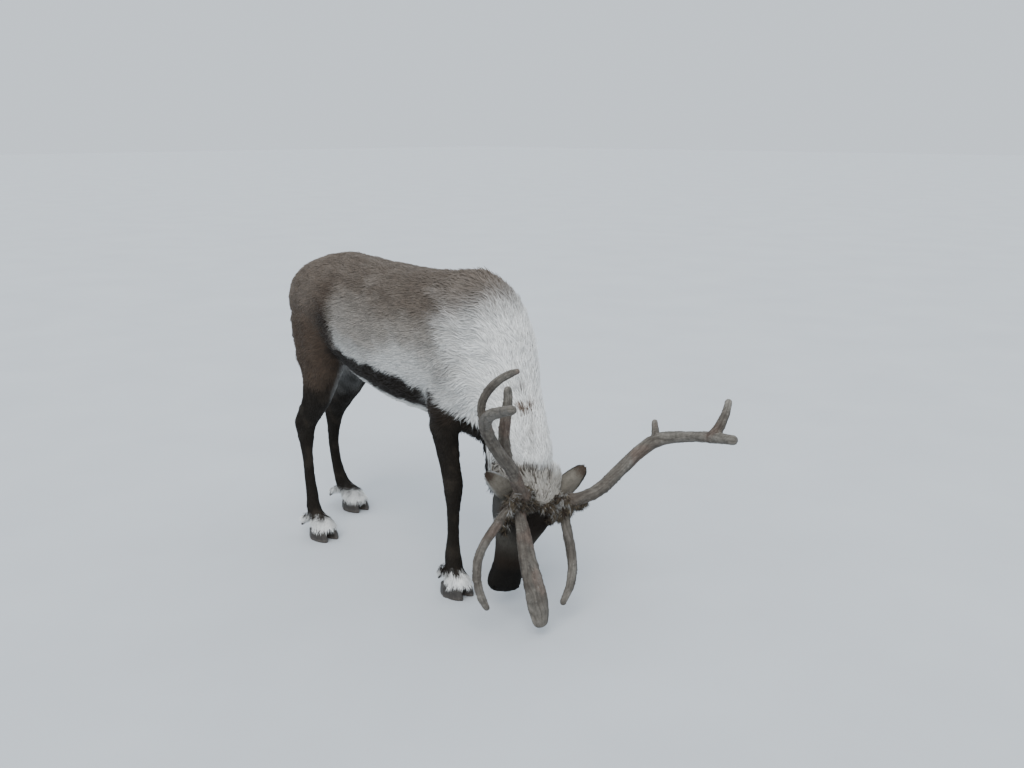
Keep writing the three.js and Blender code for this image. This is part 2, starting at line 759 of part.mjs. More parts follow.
const RIGHT_BEAM = {
  points: [[40, -56, -18], [26, -88, 22], [4, -122, 40], [-55, -176, 50], [-96, -236, 62],
    [-141, -290, 69], [-186, -332, 84], [-222, -357, 132], [-254, -373, 210], [-278, -386, 280]],
  radii: [18, 21, 18, 19, 18, 18, 19, 17, 15, 13],
};
const RIGHT_BEAM_CUTS = [0.42, 0.7];
const RIGHT_TINES = {
  brow: {
    points: [[20, -96, 18], [70, -92, 22], [122, -90, 67], [200, -75, 112], [268, -48, 140],
      [330, -22, 156], [368, -8, 166]],
    radii: [15, 20, 25, 30, 34, 36, 28],
    flatten: 0.42,
    flatAxis: [0.1, 1, 0.25],
  },
  bez: {
    points: [[6, -118, 36], [60, -134, 34], [128, -168, 38], [186, -200, 46], [242, -215, 62],
      [296, -206, 76], [340, -182, 84], [368, -158, 90]],
    radii: [14, 15, 15, 14, 14, 13, 13, 10],
  },
  inner: {
    points: [[-50, -174, 50], [-98, -206, 42], [-157, -231, 42], [-218, -245, 45], [-262, -250, 42],
      [-290, -258, 39]],
    radii: [14, 18, 18, 17, 15, 13],
    flatten: 0.72,
    flatAxis: [0, 1, 0.2],
  },
  back: {
    points: [[-182, -330, 80], [-236, -358, 80], [-286, -360, 96], [-328, -348, 122],
      [-353, -338, 149], [-368, -331, 172]],
    radii: [11, 12, 12, 12, 11, 8],
  },
};

const LEFT_BEAM = {
  points: [[40, 56, -18], [28, 84, 24], [4, 112, 52], [-36, 150, 74], [-106, 205, 76],
    [-179, 250, 91], [-228, 280, 119], [-276, 310, 225], [-298, 323, 300], [-317, 326, 390]],
  radii: [19, 23, 20, 21, 21, 21, 22, 16, 18, 14],
};
const LEFT_BEAM_CUTS = [0.66, 0.88];
const LEFT_TINES = {
  bez: {
    points: [[26, 92, 22], [70, 86, 20], [118, 98, 37], [176, 119, 57], [232, 127, 82],
      [280, 118, 102], [328, 98, 116]],
    radii: [13, 15, 16, 16, 15, 14, 10],
  },
  short: {
    points: [[-226, 280, 116], [-250, 283, 98], [-278, 285, 80]],
    radii: [15, 12, 9],
  },
  end: {
    points: [[-298, 323, 300], [-340, 328, 318], [-384, 334, 320], [-416, 338, 313]],
    radii: [17, 15, 13, 11],
  },
};

function antlerTube(branch, sides, grow) {
  return makeTube({
    points: branch.points.map((p) => onHead(...p)),
    radii: branch.radii,
    flatten: branch.flatten ?? 1,
    flatAxis: headDirection(...(branch.flatAxis ?? [0.3, 0, 1])),
    sides,
    steps: branch.points.length * 2,
    grow,
  });
}

// The beam is cut at the burr and at its forks, and each tine is cut off where it meets the beam
function makeAntler(beam, cuts, tines) {
  const path = new THREE.CatmullRomCurve3(beam.points.map((p) => onHead(...p)), false, "centripetal");
  const whole = antlerTube(beam, BEAM_SIDES, 0);
  const grown = antlerTube(beam, BEAM_SIDES, GAP);
  const burr = BURR_PLACE / (beam.points.length - 1);
  const planes = [burr, ...cuts].map((t) => planeCut(path.getPoint(t), path.getTangent(t)));
  const pieces = {};
  const names = ["beam_lower", "beam_middle", "beam_end"];
  planes.forEach(({ ahead }, i) => {
    const after = whole.intersect(ahead);
    pieces[names[i]] = i + 1 < planes.length ? after.intersect(planes[i + 1].behind) : after;
  });
  for (const [name, tine] of Object.entries(tines)) {
    pieces[`${name}_tine`] = antlerTube(tine, TINE_SIDES, 0).subtract(grown);
  }
  return { pieces, pedicle: whole.intersect(planes[0].behind) };
}

// Tail: short and broad, hanging against the rump
const TAIL = {
  points: [vec(-915, 0, 980), vec(-955, 0, 962), vec(-984, 0, 918), vec(-992, 0, 860), vec(-986, 0, 818)],
  radii: [34, 38, 40, 32, 12],
  flatten: 0.6,
  flatAxis: vec(0, 1, 0),
  sides: 12,
  steps: 12,
};
const TAIL_CUT = { point: vec(-962, 0, 955), normal: vec(-0.78, 0, -0.2) };

function makeTail() {
  return { whole: makeTube(TAIL), cut: planeCut(TAIL_CUT.point, TAIL_CUT.normal) };
}

// Seen from the side, as x and z: the region that parts the neck from the trunk
const NECK_REGION = [
  [50, 1300], [60, 1040], [118, 760], [112, 640], [86, 500], [50, 470], [-60, 470], [-60, 0], [900, 0],
  [900, 1300],
];
const HEAD_CUT = { point: onHead(-28, 0, -80), normal: headDirection(1, 0, 0.12) };

// The outline moved outwards by a distance, edge by edge
function widened(outline, distance) {
  return outline.map(([x, z], i) => {
    const [beforeX, beforeZ] = outline[(i + outline.length - 1) % outline.length];
    const [afterX, afterZ] = outline[(i + 1) % outline.length];
    const first = new THREE.Vector2(z - beforeZ, beforeX - x).normalize();
    const second = new THREE.Vector2(afterZ - z, x - afterX).normalize();
    const scale = distance / (1 + first.dot(second));
    return [x + scale * (first.x + second.x), z + scale * (first.y + second.y)];
  });
}

function prismXZ(outline) {
  const shape = new THREE.Shape(outline.map(([x, z]) => new THREE.Vector2(x, z)));
  const prism = new THREE.ExtrudeGeometry(shape, { depth: FAR, bevelEnabled: false });
  prism.rotateX(Math.PI / 2);
  prism.translate(0, FAR / 2, 0);
  return solidFromGeometry(prism);
}

const group = new THREE.Group();
const built = [];

function addNode(name, solid, color, roughness = 0.9, metalness = 0) {
  built.push({ name, solid: largestPiece(solid), color, roughness, metalness });
}

// Legs: the rows and side of each, how far it is moved, and the height where it is cut from the trunk
const LEGS = {
  foreleg_right: { rows: FORELEG_ROWS, side: -1, shift: vec(0, 0, 0), cut: FORELEG_CUT },
  foreleg_left: { rows: FORELEG_ROWS, side: 1, shift: LEFT_FORELEG_SHIFT, cut: FORELEG_CUT },
  hindleg_right: { rows: RIGHT_HINDLEG_ROWS, side: -1, shift: vec(0, 0, 0), cut: HINDLEG_CUT },
  hindleg_left: { rows: LEFT_HINDLEG_ROWS, side: 1, shift: vec(0, 0, 0), cut: HINDLEG_CUT },
};

const torsoEnvelope = makeTorsoCore(GAP);
const legTops = [];
for (const [name, { rows, side, shift, cut }] of Object.entries(LEGS)) {
  const core = makeLegCore(rows, side, shift);
  const top = planeCut(vec(0, 0, cut), vec(0, 0, 1));
  legTops.push(core.intersect(top.ahead));
  const foot = rows[rows.length - 1];
  const fetlock = rows[rows.length - 5];
  const footPlace = vec(foot[0], foot[1] * side, 0).add(shift);
  let leg = core.intersect(top.behind).intersect(halfSpace(vec(0, 0, CORONET + HALF_GAP), vec(0, 0, 1)));
  for (const [claw, sign] of [["inner", -side], ["outer", side]]) {
    addNode(`hoof_${name}_${claw}`, makeHoof(footPlace, sign), HORN_BLACK, 0.6);
    const root = vec(fetlock[0], fetlock[1] * side, fetlock[2])
      .add(vec(DEWCLAW_ROOT[0], DEWCLAW_ROOT[1] * sign, DEWCLAW_ROOT[2]))
      .add(shift);
    const dewclaw = makeDewclaw(root, sign);
    leg = leg.add(dewclaw.whole.intersect(dewclaw.cut.behind));
    addNode(`dewclaw_${name}_${claw}`, dewclaw.whole.intersect(dewclaw.cut.ahead), HORN_BLACK, 0.6);
  }
  addNode(name, leg.subtract(torsoEnvelope), COAT_DARK);
}

const neckCore = makeNeckBody(0);
const tail = makeTail();
const headCore = makeHeadCore(0);
const tailRoot = tail.whole.intersect(tail.cut.behind);
const trunk = join([makeTorsoCore(0), ...legTops, neckCore, headCore, tailRoot]);
const headPlane = planeCut(HEAD_CUT.point, HEAD_CUT.normal);
const rightAntler = makeAntler(RIGHT_BEAM, RIGHT_BEAM_CUTS, RIGHT_TINES);
const leftAntler = makeAntler(LEFT_BEAM, LEFT_BEAM_CUTS, LEFT_TINES);
const ears = Object.entries(EAR_PLACES).map(([side, place]) => [side, makeEar(place)]);

addNode("torso", trunk.subtract(prismXZ(widened(NECK_REGION, HALF_GAP))), COAT_BROWN);

const neckRegion = prismXZ(widened(NECK_REGION, -HALF_GAP));
const headEnvelope = makeHeadCore(GAP).add(makeNeckBody(GAP));
const cutBack = HEAD_CUT.point.clone().addScaledVector(HEAD_CUT.normal, -HALF_GAP);
const headSpace = headEnvelope.intersect(halfSpace(cutBack, HEAD_CUT.normal));
let neck = trunk.intersect(neckRegion).intersect(headPlane.behind);
neck = neck.add(join(makeMane()).intersect(neckRegion)).subtract(headSpace);
addNode("neck", neck, COAT_GREY);

const pedicles = [rightAntler.pedicle, leftAntler.pedicle];
let head = join([headCore, neckCore, ...pedicles]).intersect(headPlane.ahead);
for (const [, ear] of ears) {
  head = head.add(ear.whole.intersect(ear.cut.behind));
}
for (const side of [-1, 1]) {
  head = head.add(makeLids(side)).subtract(makeEye(side, GAP)).subtract(makeNostril(side));
}
head = head.subtract(makeMouthLine()).intersect(headPlane.ahead);
addNode("head", head, COAT_GREY);

for (const [side, ear] of ears) {
  addNode(`ear_${side}`, ear.whole.intersect(ear.cut.ahead).subtract(headEnvelope), COAT_GREY);
}
addNode("eye_right", makeEye(-1, 0), EYE_BLACK, 0.1);
addNode("eye_left", makeEye(1, 0), EYE_BLACK, 0.1);
addNode("tail", tail.whole.intersect(tail.cut.ahead).subtract(torsoEnvelope), COAT_WHITE);

for (const [side, antler] of [["right", rightAntler], ["left", leftAntler]]) {
  for (const [name, piece] of Object.entries(antler.pieces)) {
    addNode(`antler_${side}_${name}`, piece, ANTLER, 0.85);
  }
}

// The model stands with the middle of its footprint at the origin
const extent = new THREE.Box3();
for (const { solid } of built) {
  const { min, max } = solid.boundingBox();
  extent.expandByPoint(vec(...min));
  extent.expandByPoint(vec(...max));
}
const middle = extent.getCenter(new THREE.Vector3());
group.position.set(-middle.x, -middle.y, -extent.min.z);

for (const { name, solid, color, roughness, metalness } of built) {
  const { vertProperties, triVerts } = solid.getMesh();
  const geometry = new THREE.BufferGeometry();
  geometry.setAttribute("position", new THREE.BufferAttribute(vertProperties, 3));
  geometry.setIndex(new THREE.BufferAttribute(triVerts, 1));
  geometry.computeVertexNormals();
  const material = new THREE.MeshStandardMaterial({ color, roughness, metalness });
  const mesh = new THREE.Mesh(geometry, material);
  mesh.name = name;
  group.add(mesh);
}

export default group;
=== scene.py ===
"""Looks of the reindeer: skin, coat, eyes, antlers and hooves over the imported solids.

Sizes are in millimetres in the design frame of the solids, which MM and SHIFT turn into the
metres of the scene. The animal faces +X, its left side is +Y.
"""
import math

import bmesh
import bpy
import numpy as np
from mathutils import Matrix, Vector
from mathutils.kdtree import KDTree


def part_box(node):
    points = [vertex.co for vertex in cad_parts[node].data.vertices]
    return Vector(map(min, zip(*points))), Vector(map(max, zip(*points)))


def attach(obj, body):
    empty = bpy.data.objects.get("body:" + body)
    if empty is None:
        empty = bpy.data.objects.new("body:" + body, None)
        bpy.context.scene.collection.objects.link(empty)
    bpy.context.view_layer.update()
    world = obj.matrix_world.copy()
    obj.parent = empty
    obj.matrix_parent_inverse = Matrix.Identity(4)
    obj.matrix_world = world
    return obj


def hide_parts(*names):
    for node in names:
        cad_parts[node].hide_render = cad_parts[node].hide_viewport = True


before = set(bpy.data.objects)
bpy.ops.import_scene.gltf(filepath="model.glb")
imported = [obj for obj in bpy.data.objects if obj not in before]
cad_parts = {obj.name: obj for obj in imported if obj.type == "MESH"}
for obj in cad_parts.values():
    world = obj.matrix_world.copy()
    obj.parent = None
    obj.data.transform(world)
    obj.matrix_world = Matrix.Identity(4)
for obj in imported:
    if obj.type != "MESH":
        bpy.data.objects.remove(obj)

MM = 0.001
SEED = 11
random = np.random.default_rng(SEED)


def write_size():
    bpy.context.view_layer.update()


write_size()


def unit(rows):
    rows = np.asarray(rows, float)
    return rows / np.maximum(np.linalg.norm(rows, axis=-1, keepdims=True), 1e-9)


def ramp(value, start, end):
    """0 before start, 1 after end, smooth between them; start may be the higher one."""
    t = np.clip((value - start) / (end - start), 0, 1)
    return t * t * (3 - 2 * t)


def spot(distance, size):
    return np.exp(-((distance / size) ** 2))


def wobble(points, size, seed):
    """Smooth noise of about -1 to 1 whose features are about size apart."""
    draw = np.random.default_rng(seed)
    total = np.zeros(len(points))
    for _ in range(7):
        wave = unit(draw.normal(size=3)) * draw.uniform(0.6, 1.7) * 2 * math.pi / size
        total += np.sin(points @ wave + draw.uniform(0, 2 * math.pi))
    return total / 3.2


def curve_through(rows):
    """A smooth curve through rows, as in the solids: the rows lie at equal steps of 0 to 1."""
    rows = np.asarray(rows, float)
    last = len(rows) - 1

    def at(t):
        place = np.clip(np.asarray(t, float) * last, 0, last)
        i = np.minimum(place.astype(int), last - 1)
        s = (place - i)[..., None]
        p1, p2 = rows[i], rows[i + 1]
        p0 = np.where((i > 0)[..., None], rows[np.maximum(i - 1, 0)], 2 * p1 - p2)
        p3 = np.where((i + 2 <= last)[..., None], rows[np.minimum(i + 2, last)], 2 * p2 - p1)
        return 0.5 * (2 * p1 + (p2 - p0) * s + (2 * p0 - 5 * p1 + 4 * p2 - p3) * s ** 2
                      + (3 * p1 - p0 - 3 * p2 + p3) * s ** 3)

    return at


# The head's own frame: down the face, to its left, out of the forehead
POLL = np.array([300.0, -39, 417])
TURN, NOD, TILT = (math.radians(a) for a in (16.5, 3, 15.8))
FACE_DOWN = unit([
    -math.sin(NOD) * math.cos(TURN) * math.cos(TILT) - math.sin(TURN) * math.sin(TILT),
    math.sin(NOD) * math.sin(TURN) * math.cos(TILT) - math.cos(TURN) * math.sin(TILT),
    -math.cos(NOD) * math.cos(TILT)])
FACE_OUT = unit([math.cos(NOD) * math.cos(TURN), -math.cos(NOD) * math.sin(TURN), -math.sin(NOD)])
FACE_LEFT = unit(np.cross(FACE_OUT, FACE_DOWN))
HEAD_AXES = np.array([FACE_DOWN, FACE_LEFT, FACE_OUT])


def on_head(places):
    return POLL + np.asarray(places, float) @ HEAD_AXES


def to_head(points):
    return (points - POLL) @ HEAD_AXES.T


EYE_PLACE = np.array([114.0, 82, -42])
EYE_RADIUS = 17
EYE_SINK = 3.2
SIDES = {"left": 1, "right": -1}


def eye_middle(side):
    return on_head(EYE_PLACE * [1, side, 1])


def box_middle(node):
    low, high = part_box(node)
    return (np.array(low) + np.array(high)) / 2


# Where the design frame lies in the scene
SHIFT = np.mean([box_middle(f"eye_{name}") - eye_middle(side) * MM for name, side in SIDES.items()],
                axis=0)
SHIFT[2] = 0


def place(points):
    return np.asarray(points) * MM + SHIFT


def design(points):
    return (np.asarray(points) - SHIFT) / MM


# Camera, floor and lights
CAMERA_PLACE = (2409, -2446, 1511)
CAMERA_YAW, CAMERA_PITCH = math.radians(43.1), math.radians(13.4)
LENS = 37.97
FLOOR_REACH = 60
FLOOR_COLOR = (0.513, 0.5415, 0.57, 1)
SKY_COLOR, SKY_STRENGTH = (0.84, 0.92, 1.0, 1), 1.02
# Wide suns light the floor evenly as far as it shows: where from, spread, power and colour
SUNS = {
    "key": ((2.4, -3.4, 4.2), 45, 2.5, (1.0, 0.98, 0.95)),
    "top": ((-1.6, 1.2, 5.0), 80, 1.1, (0.95, 0.97, 1.0)),
}


def added(name, data):
    """A new object in the scene that shows data."""
    piece = bpy.data.objects.new(name, data)
    bpy.context.collection.objects.link(piece)
    return piece


def make_stage():
    camera = added("camera", bpy.data.cameras.new("camera"))
    camera.data.lens = LENS
    camera.data.sensor_width = 36
    camera.data.clip_end = 200
    camera.location = place(CAMERA_PLACE)
    camera.rotation_euler = (math.pi / 2 - CAMERA_PITCH, 0, CAMERA_YAW)
    bpy.context.scene.camera = camera

    reach = FLOOR_REACH
    corners = [(-reach, -reach, 0), (reach, -reach, 0), (reach, reach, 0), (-reach, reach, 0)]
    floor = new_object("floor", corners, [(0, 1, 2, 3)])
    floor.data.materials.append(floor_material())

    world = bpy.data.worlds.new("studio")
    bpy.context.scene.world = world
    world.use_nodes = True
    background = world.node_tree.nodes["Background"]
    background.inputs["Color"].default_value = SKY_COLOR
    background.inputs["Strength"].default_value = SKY_STRENGTH
    for name, (at, spread, power, color) in SUNS.items():
        sun = added(name, bpy.data.lights.new(name, "SUN"))
        sun.data.angle = math.radians(spread)
        sun.data.energy = power
        sun.data.color = color
        sun.rotation_euler = Vector(at).to_track_quat("Z", "Y").to_euler()


# Materials
def new_material(name, roughness, specular):
    material = bpy.data.materials.new(name)
    material.use_nodes = True
    shader = material.node_tree.nodes["Principled BSDF"]
    shader.inputs["Roughness"].default_value = roughness
    shader.inputs["Specular IOR Level"].default_value = specular
    return material, material.node_tree, shader


def add_node(tree, kind, **inputs):
    node = tree.nodes.new(kind)
    for name, value in inputs.items():
        node.inputs[name.replace("_", " ")].default_value = value
    return node


def object_coordinates(tree):
    return tree.nodes.new("ShaderNodeTexCoord").outputs["Object"]


def noise(tree, scale, detail=4, roughness=0.55, vector=None):
    node = add_node(tree, "ShaderNodeTexNoise", Scale=scale, Detail=detail, Roughness=roughness)
    tree.links.new(node.inputs["Vector"], vector or object_coordinates(tree))
    return node.outputs["Fac"]


def varied(tree, color, factor, low, high):
    """color made darker and lighter by factor, a noise that lies mostly between 0.3 and 0.7."""
    span = add_node(tree, "ShaderNodeMapRange", From_Min=0.3, From_Max=0.7, To_Min=low, To_Max=high)
    tree.links.new(span.inputs["Value"], factor)
    scaled = tree.nodes.new("ShaderNodeVectorMath")
    scaled.operation = "SCALE"
    tree.links.new(scaled.inputs[0], color)
    tree.links.new(scaled.inputs["Scale"], span.outputs["Result"])
    return scaled.outputs["Vector"]


def attribute(tree, name, output):
    node = tree.nodes.new("ShaderNodeAttribute")
    node.attribute_name = name
    return node.outputs[output]


def add_bump(tree, shader, height, distance, strength, before=None):
    bump = add_node(tree, "ShaderNodeBump", Strength=strength, Distance=distance)
    tree.links.new(bump.inputs["Height"], height)
    if before:
        tree.links.new(bump.inputs["Normal"], before)
    tree.links.new(shader.inputs["Normal"], bump.outputs["Normal"])
    return bump.outputs["Normal"]


def floor_material():
    material, tree, shader = new_material("pale floor", 0.8, 0.1)
    base = tree.nodes.new("ShaderNodeRGB")
    base.outputs[0].default_value = FLOOR_COLOR
    color = varied(tree, base.outputs[0], noise(tree, 1.5), 0.97, 1.03)
    tree.links.new(shader.inputs["Base Color"], color)
    return material


def painted_material(name, roughness, specular, grain, span, bumps=(), **sockets):
    """A look whose painted colour varies with one noise, with a noise for each of its bumps."""
    material, tree, shader = new_material(name, roughness, specular)
    vector = object_coordinates(tree)
    color = varied(tree, attribute(tree, "coat", "Color"), noise(tree, *grain, vector), *span)
    tree.links.new(shader.inputs["Base Color"], color)
    before = None
    for height, distance, strength in bumps:
        before = add_bump(tree, shader, noise(tree, *height, vector), distance, strength, before)
    for socket, value in sockets.items():
        shader.inputs[socket.replace("_", " ")].default_value = value
    return material


def skin_material():
    bumps = [((700, 3, 0.6), 0.0008, 0.7), ((160, 4, 0.6), 0.0014, 0.45)]
    return painted_material("short fur", 0.85, 0.12, (60, 5, 0.65), (0.8, 1.15), bumps)


def coat_material():
    return painted_material("coat", 0.7, 0.12, (180, 3, 0.6), (0.86, 1.12),
                            Sheen_Weight=0.04, Sheen_Roughness=0.5)


def antler_material():
    material, tree, shader = new_material("antler", 0.62, 0.2)
    vector = object_coordinates(tree)
    fibres = noise(tree, 380, 4, 0.65, attribute(tree, "grain", "Vector"))
    mottle = noise(tree, 45, 6, 0.65, vector)
    color = varied(tree, attribute(tree, "coat", "Color"), mottle, 0.74, 1.2)
    color = varied(tree, color, fibres, 0.72, 1.18)
    tree.links.new(shader.inputs["Base Color"], color)
    first = add_bump(tree, shader, fibres, 0.0014, 0.8)
    add_bump(tree, shader, noise(tree, 260, 5, 0.7, vector), 0.0012, 0.6, first)
    return material


def horn_material():
    bumps = [((500, 4, 0.6), 0.0006, 0.5)]
    return painted_material("hoof horn", 0.5, 0.4, (90, 5, 0.65), (0.7, 1.35), bumps)


def eye_material():
    return painted_material("eye", 0.16, 0.25, (900, 3, 0.6), (0.8, 1.2),
                            Coat_Weight=0.4, Coat_Roughness=0.04)


# Mesh helpers
def new_object(name, points, faces):
    mesh = bpy.data.meshes.new(name)
    mesh.from_pydata(np.asarray(points).tolist(), [], [list(map(int, f)) for f in faces])
    mesh.update()
    return added(name, mesh)


def tube_faces(rows, count):
    """Faces of a tube through rows rings of count points each, open at both ends."""
    faces = []
    for i in range(rows - 1):
        for k in range(count):
            n = (k + 1) % count
            faces.append((i * count + k, i * count + n, (i + 1) * count + n, (i + 1) * count + k))
    return faces


def loft(rings):
    """A closed tube through rings of equal count, with both ends capped."""
    count = len(rings[0])
    faces = tube_faces(len(rings), count)
    faces.append(tuple(range(count - 1, -1, -1)))
    faces.append(tuple((len(rings) - 1) * count + k for k in range(count)))
    return np.concatenate(rings), faces


def read_rows(items, field, width, kind=float):
    flat = np.empty(len(items) * width, kind)
    items.foreach_get(field, flat)
    return flat.reshape(-1, width)


def points_of(mesh):
    return read_rows(mesh.vertices, "co", 3)


def normals_of(mesh):
    mesh.update()
    return read_rows(mesh.vertices, "normal", 3)


def set_points(mesh, points):
    mesh.vertices.foreach_set("co", np.ascontiguousarray(points, dtype=np.float32).ravel())
    mesh.update()


def edges_of(mesh):
    return read_rows(mesh.edges, "vertices", 2, int)


def faces_of(mesh):
    return [tuple(p.vertices) for p in mesh.polygons]


def smoothed(values, edges, rounds):
    """values at the vertices, each drawn halfway to the mean of its neighbours."""
    values = np.array(values, float)
    count = len(values)
    a, b = edges.T
    degree = np.maximum(np.bincount(a, minlength=count) + np.bincount(b, minlength=count), 1)
    flat = values.reshape(count, -1)
    for _ in range(rounds):
        for c in range(flat.shape[1]):
            near = np.bincount(a, flat[b, c], count) + np.bincount(b, flat[a, c], count)
            flat[:, c] += 0.5 * (near / degree - flat[:, c])
    return flat.reshape(values.shape)


def cleaned(mesh, merge=0, triangulate=False):
    """Turns all faces outward, after joining points closer than merge."""
    bm = bmesh.new()
    bm.from_mesh(mesh)
    if merge:
        bmesh.ops.remove_doubles(bm, verts=bm.verts, dist=merge)
    bmesh.ops.recalc_face_normals(bm, faces=bm.faces)
    if triangulate:
        bmesh.ops.triangulate(bm, faces=bm.faces)
    bm.to_mesh(mesh)
    bm.free()


def remeshed(source, voxel):
    modifier = source.modifiers.new("voxels", "REMESH")
    modifier.mode = "VOXEL"
    modifier.voxel_size = voxel
    graph = bpy.context.evaluated_depsgraph_get()
    mesh = bpy.data.meshes.new_from_object(source.evaluated_get(graph))
    bpy.data.objects.remove(source)
    return mesh


def node_arrays(name):
    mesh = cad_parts[name].data
    return points_of(mesh), faces_of(mesh)


def nearest(samples, points):
    """Which of the samples lies nearest to each point."""
    tree = KDTree(len(samples))
    for i, sample in enumerate(samples):
        tree.insert(sample, i)
    tree.balance()
    return np.array([tree.find(p)[1] for p in points])


def laid(direction, normal):
    """direction made to lie in the surface that normal stands on."""
    return unit(direction - normal * np.sum(direction * normal, axis=1)[:, None])


def merged(parts):
    points, faces, start = [], [], 0
    for own_points, own_faces in parts:
        points.append(own_points)
        faces += [tuple(i + start for i in f) for f in own_faces]
        start += len(own_points)
    return np.concatenate(points), faces


def paint(mesh, colors):
    rgba = np.ones((len(mesh.vertices), 4), np.float32)
    rgba[:, :3] = np.clip(colors, 0, 1)
    layer = mesh.color_attributes.new("coat", "FLOAT_COLOR", "POINT")
    layer.data.foreach_set("color", rgba.ravel())


def finish_piece(piece, nodes, material):
    piece.data.materials.clear()
    piece.data.materials.append(material)
    piece.data.polygons.foreach_set("use_smooth", [True] * len(piece.data.polygons))
    if nodes:
        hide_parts(*nodes)
    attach(piece, "root")


# Shapes that the skin is built from
NECK_ROWS = [
    [-90, 0, 850, 190, 190, 120], [-18, 0, 848, 206, 200, 148], [46, 0, 804, 158, 186, 144],
    [88, 0, 742, 120, 164, 128], [120, -2, 672, 98, 138, 114], [148, -8, 598, 101, 124, 106],
    [172, -18, 524, 112, 124, 102], [194, -28, 462, 114, 116, 98], [206, -34, 416, 92, 90, 88],
    [212, -38, 384, 66, 64, 68],
]
neck_curve = curve_through(NECK_ROWS)


def neck_frame(t):
    row = neck_curve(t)
    along = unit(neck_curve(t + 0.02)[..., :3] - neck_curve(t - 0.02)[..., :3])
    left = unit(np.array([0, 1, 0]) - along * along[..., 1:2])
    return row[..., :3], along, left, np.cross(along, left), row[..., 3:]


def neck_point(t, angle):
    middle, _, left, up, (crest, throat, across) = neck_frame(np.array(float(t)))
    height = crest if math.sin(angle) > 0 else throat
    return middle + left * across * math.cos(angle) + up * height * math.sin(angle)


def circle(count):
    return [2 * math.pi * k / count for k in range(count)]


def neck_loft():
    return loft([np.array([neck_point(t, a) for a in circle(40)]) for t in np.linspace(0.02, 0.98, 44)])


HEAD_ROWS = [
    [-70, -10, -120, 66], [-35, 4, -164, 88], [0, 10, -188, 94], [40, 12, -200, 95],
    [80, 8, -200, 94], [120, -2, -190, 88], [160, -14, -172, 78], [200, -25, -152, 67],
    [240, -34, -136, 58], [280, -40, -125, 53], [315, -45, -118, 54], [345, -51, -113, 55],
    [368, -60, -104, 49], [384, -74, -92, 28],
]
HEAD_BUMPS = [
    ([112, 80, -38], 26, 9), ([150, 66, -52], 30, 4), ([120, 74, -105], 42, 5),
    ([205, 58, -66], 26, -4), ([352, 46, -74], 20, 5), ([338, 40, -108], 18, 4),
]
WIDEST, SQUARENESS = 0.58, 0.84
head_curve = curve_through(HEAD_ROWS)


def head_point(t, angle):
    down, top, bottom, half = head_curve(t)
    middle = bottom + (top - bottom) * WIDEST
    c, s = (math.copysign(abs(v) ** SQUARENESS, v) for v in (math.cos(angle), math.sin(angle)))
    height = top - middle if s > 0 else middle - bottom
    return bumped(np.array([[down, half * c, middle + height * s]]),
                  np.array([[0, math.cos(angle), math.sin(angle)]]))[0]


def bumped(places, outward):
    places = places.copy()
    for at, spread, rise in HEAD_BUMPS:
        for side in (-1, 1):
            away = np.linalg.norm(places - np.array(at) * [1, side, 1], axis=1)
            places += outward * (rise * spot(away, spread))[:, None]
    return places


def head_loft():
    rings = [on_head([head_point(t, a) for a in circle(48)]) for t in np.linspace(0.01, 0.995, 60)]
    return loft(rings)


# The first points of each beam, which carry the antlers: they are part of the head
PEDICLES = {"right": [[40, -56, -18], [26, -88, 22]], "left": [[40, 56, -18], [28, 84, 24]]}
PEDICLE_RADIUS = 17


def pedicle_loft(side):
    start, end = on_head(PEDICLES[side])
    axis = unit(end - start)
    wide = unit(np.cross(axis, [0, 0, 1]))
    thin = np.cross(axis, wide)
    rings = []
    for t, scale in ((0, 1.5), (0.4, 1.15), (0.72, 1.0)):
        middle = start + (end - start) * t
        radius = PEDICLE_RADIUS * scale
        rings.append(np.array([middle + radius * (wide * math.cos(a) + thin * math.sin(a))
                               for a in circle(20)]))
    return loft(rings)


LEGS = ("foreleg_left", "foreleg_right", "hindleg_left", "hindleg_right")
TRUNK_NODES = ["torso", "tail", *LEGS]
BODY_VOXEL = 6.2
CLOSING = 1.2
# The skin ends here above the ground, inside the hooves
SKIN_FLOOR = 38
# Where the skin's faces are split: down the head from the first two, and this near an eye
FINE_HEAD, FINE_MUZZLE = -12, 285
FINE_EYE, FINE_LIDS = 46, 31
HEAD_FRONT = 120


def region_of(points):
    """Which points belong to each part, by the nearest vertex of the solids."""
    parts = {name: node_arrays(name)[0] for name in TRUNK_NODES}
    parts["neck"] = place(neck_loft()[0])
    parts["head"] = place(head_loft()[0])
    label = np.repeat(np.arange(len(parts)), [len(part) for part in parts.values()])
    region = label[nearest(np.concatenate(list(parts.values())), points)]
    return {name: region == k for k, name in enumerate(parts)}


def legs_of(own):
    return np.any([own[name] for name in LEGS], axis=0)


EYE_FACING = np.array([0, 0.88, 0.47])


def eye_local(points, side):
    """Places about an eye: along the opening, up across it, and straight out of it."""
    outward = unit(EYE_FACING * [1, side, 1] @ HEAD_AXES)
    along = FACE_DOWN
    upward = unit(np.cross(along, outward)) * -side
    rel = points - (eye_middle(side) - outward * EYE_SINK)
    return rel @ along, rel @ upward, rel @ outward, (along, upward, outward)


def eye_distance(points):
    return np.min([np.linalg.norm(points - eye_middle(s), axis=1) for s in SIDES.values()], axis=0)


LID_LENGTH, LID_HEIGHT = 15.5, 9.5
LID_THICK = 2.0
LID_SLANT = 0.16


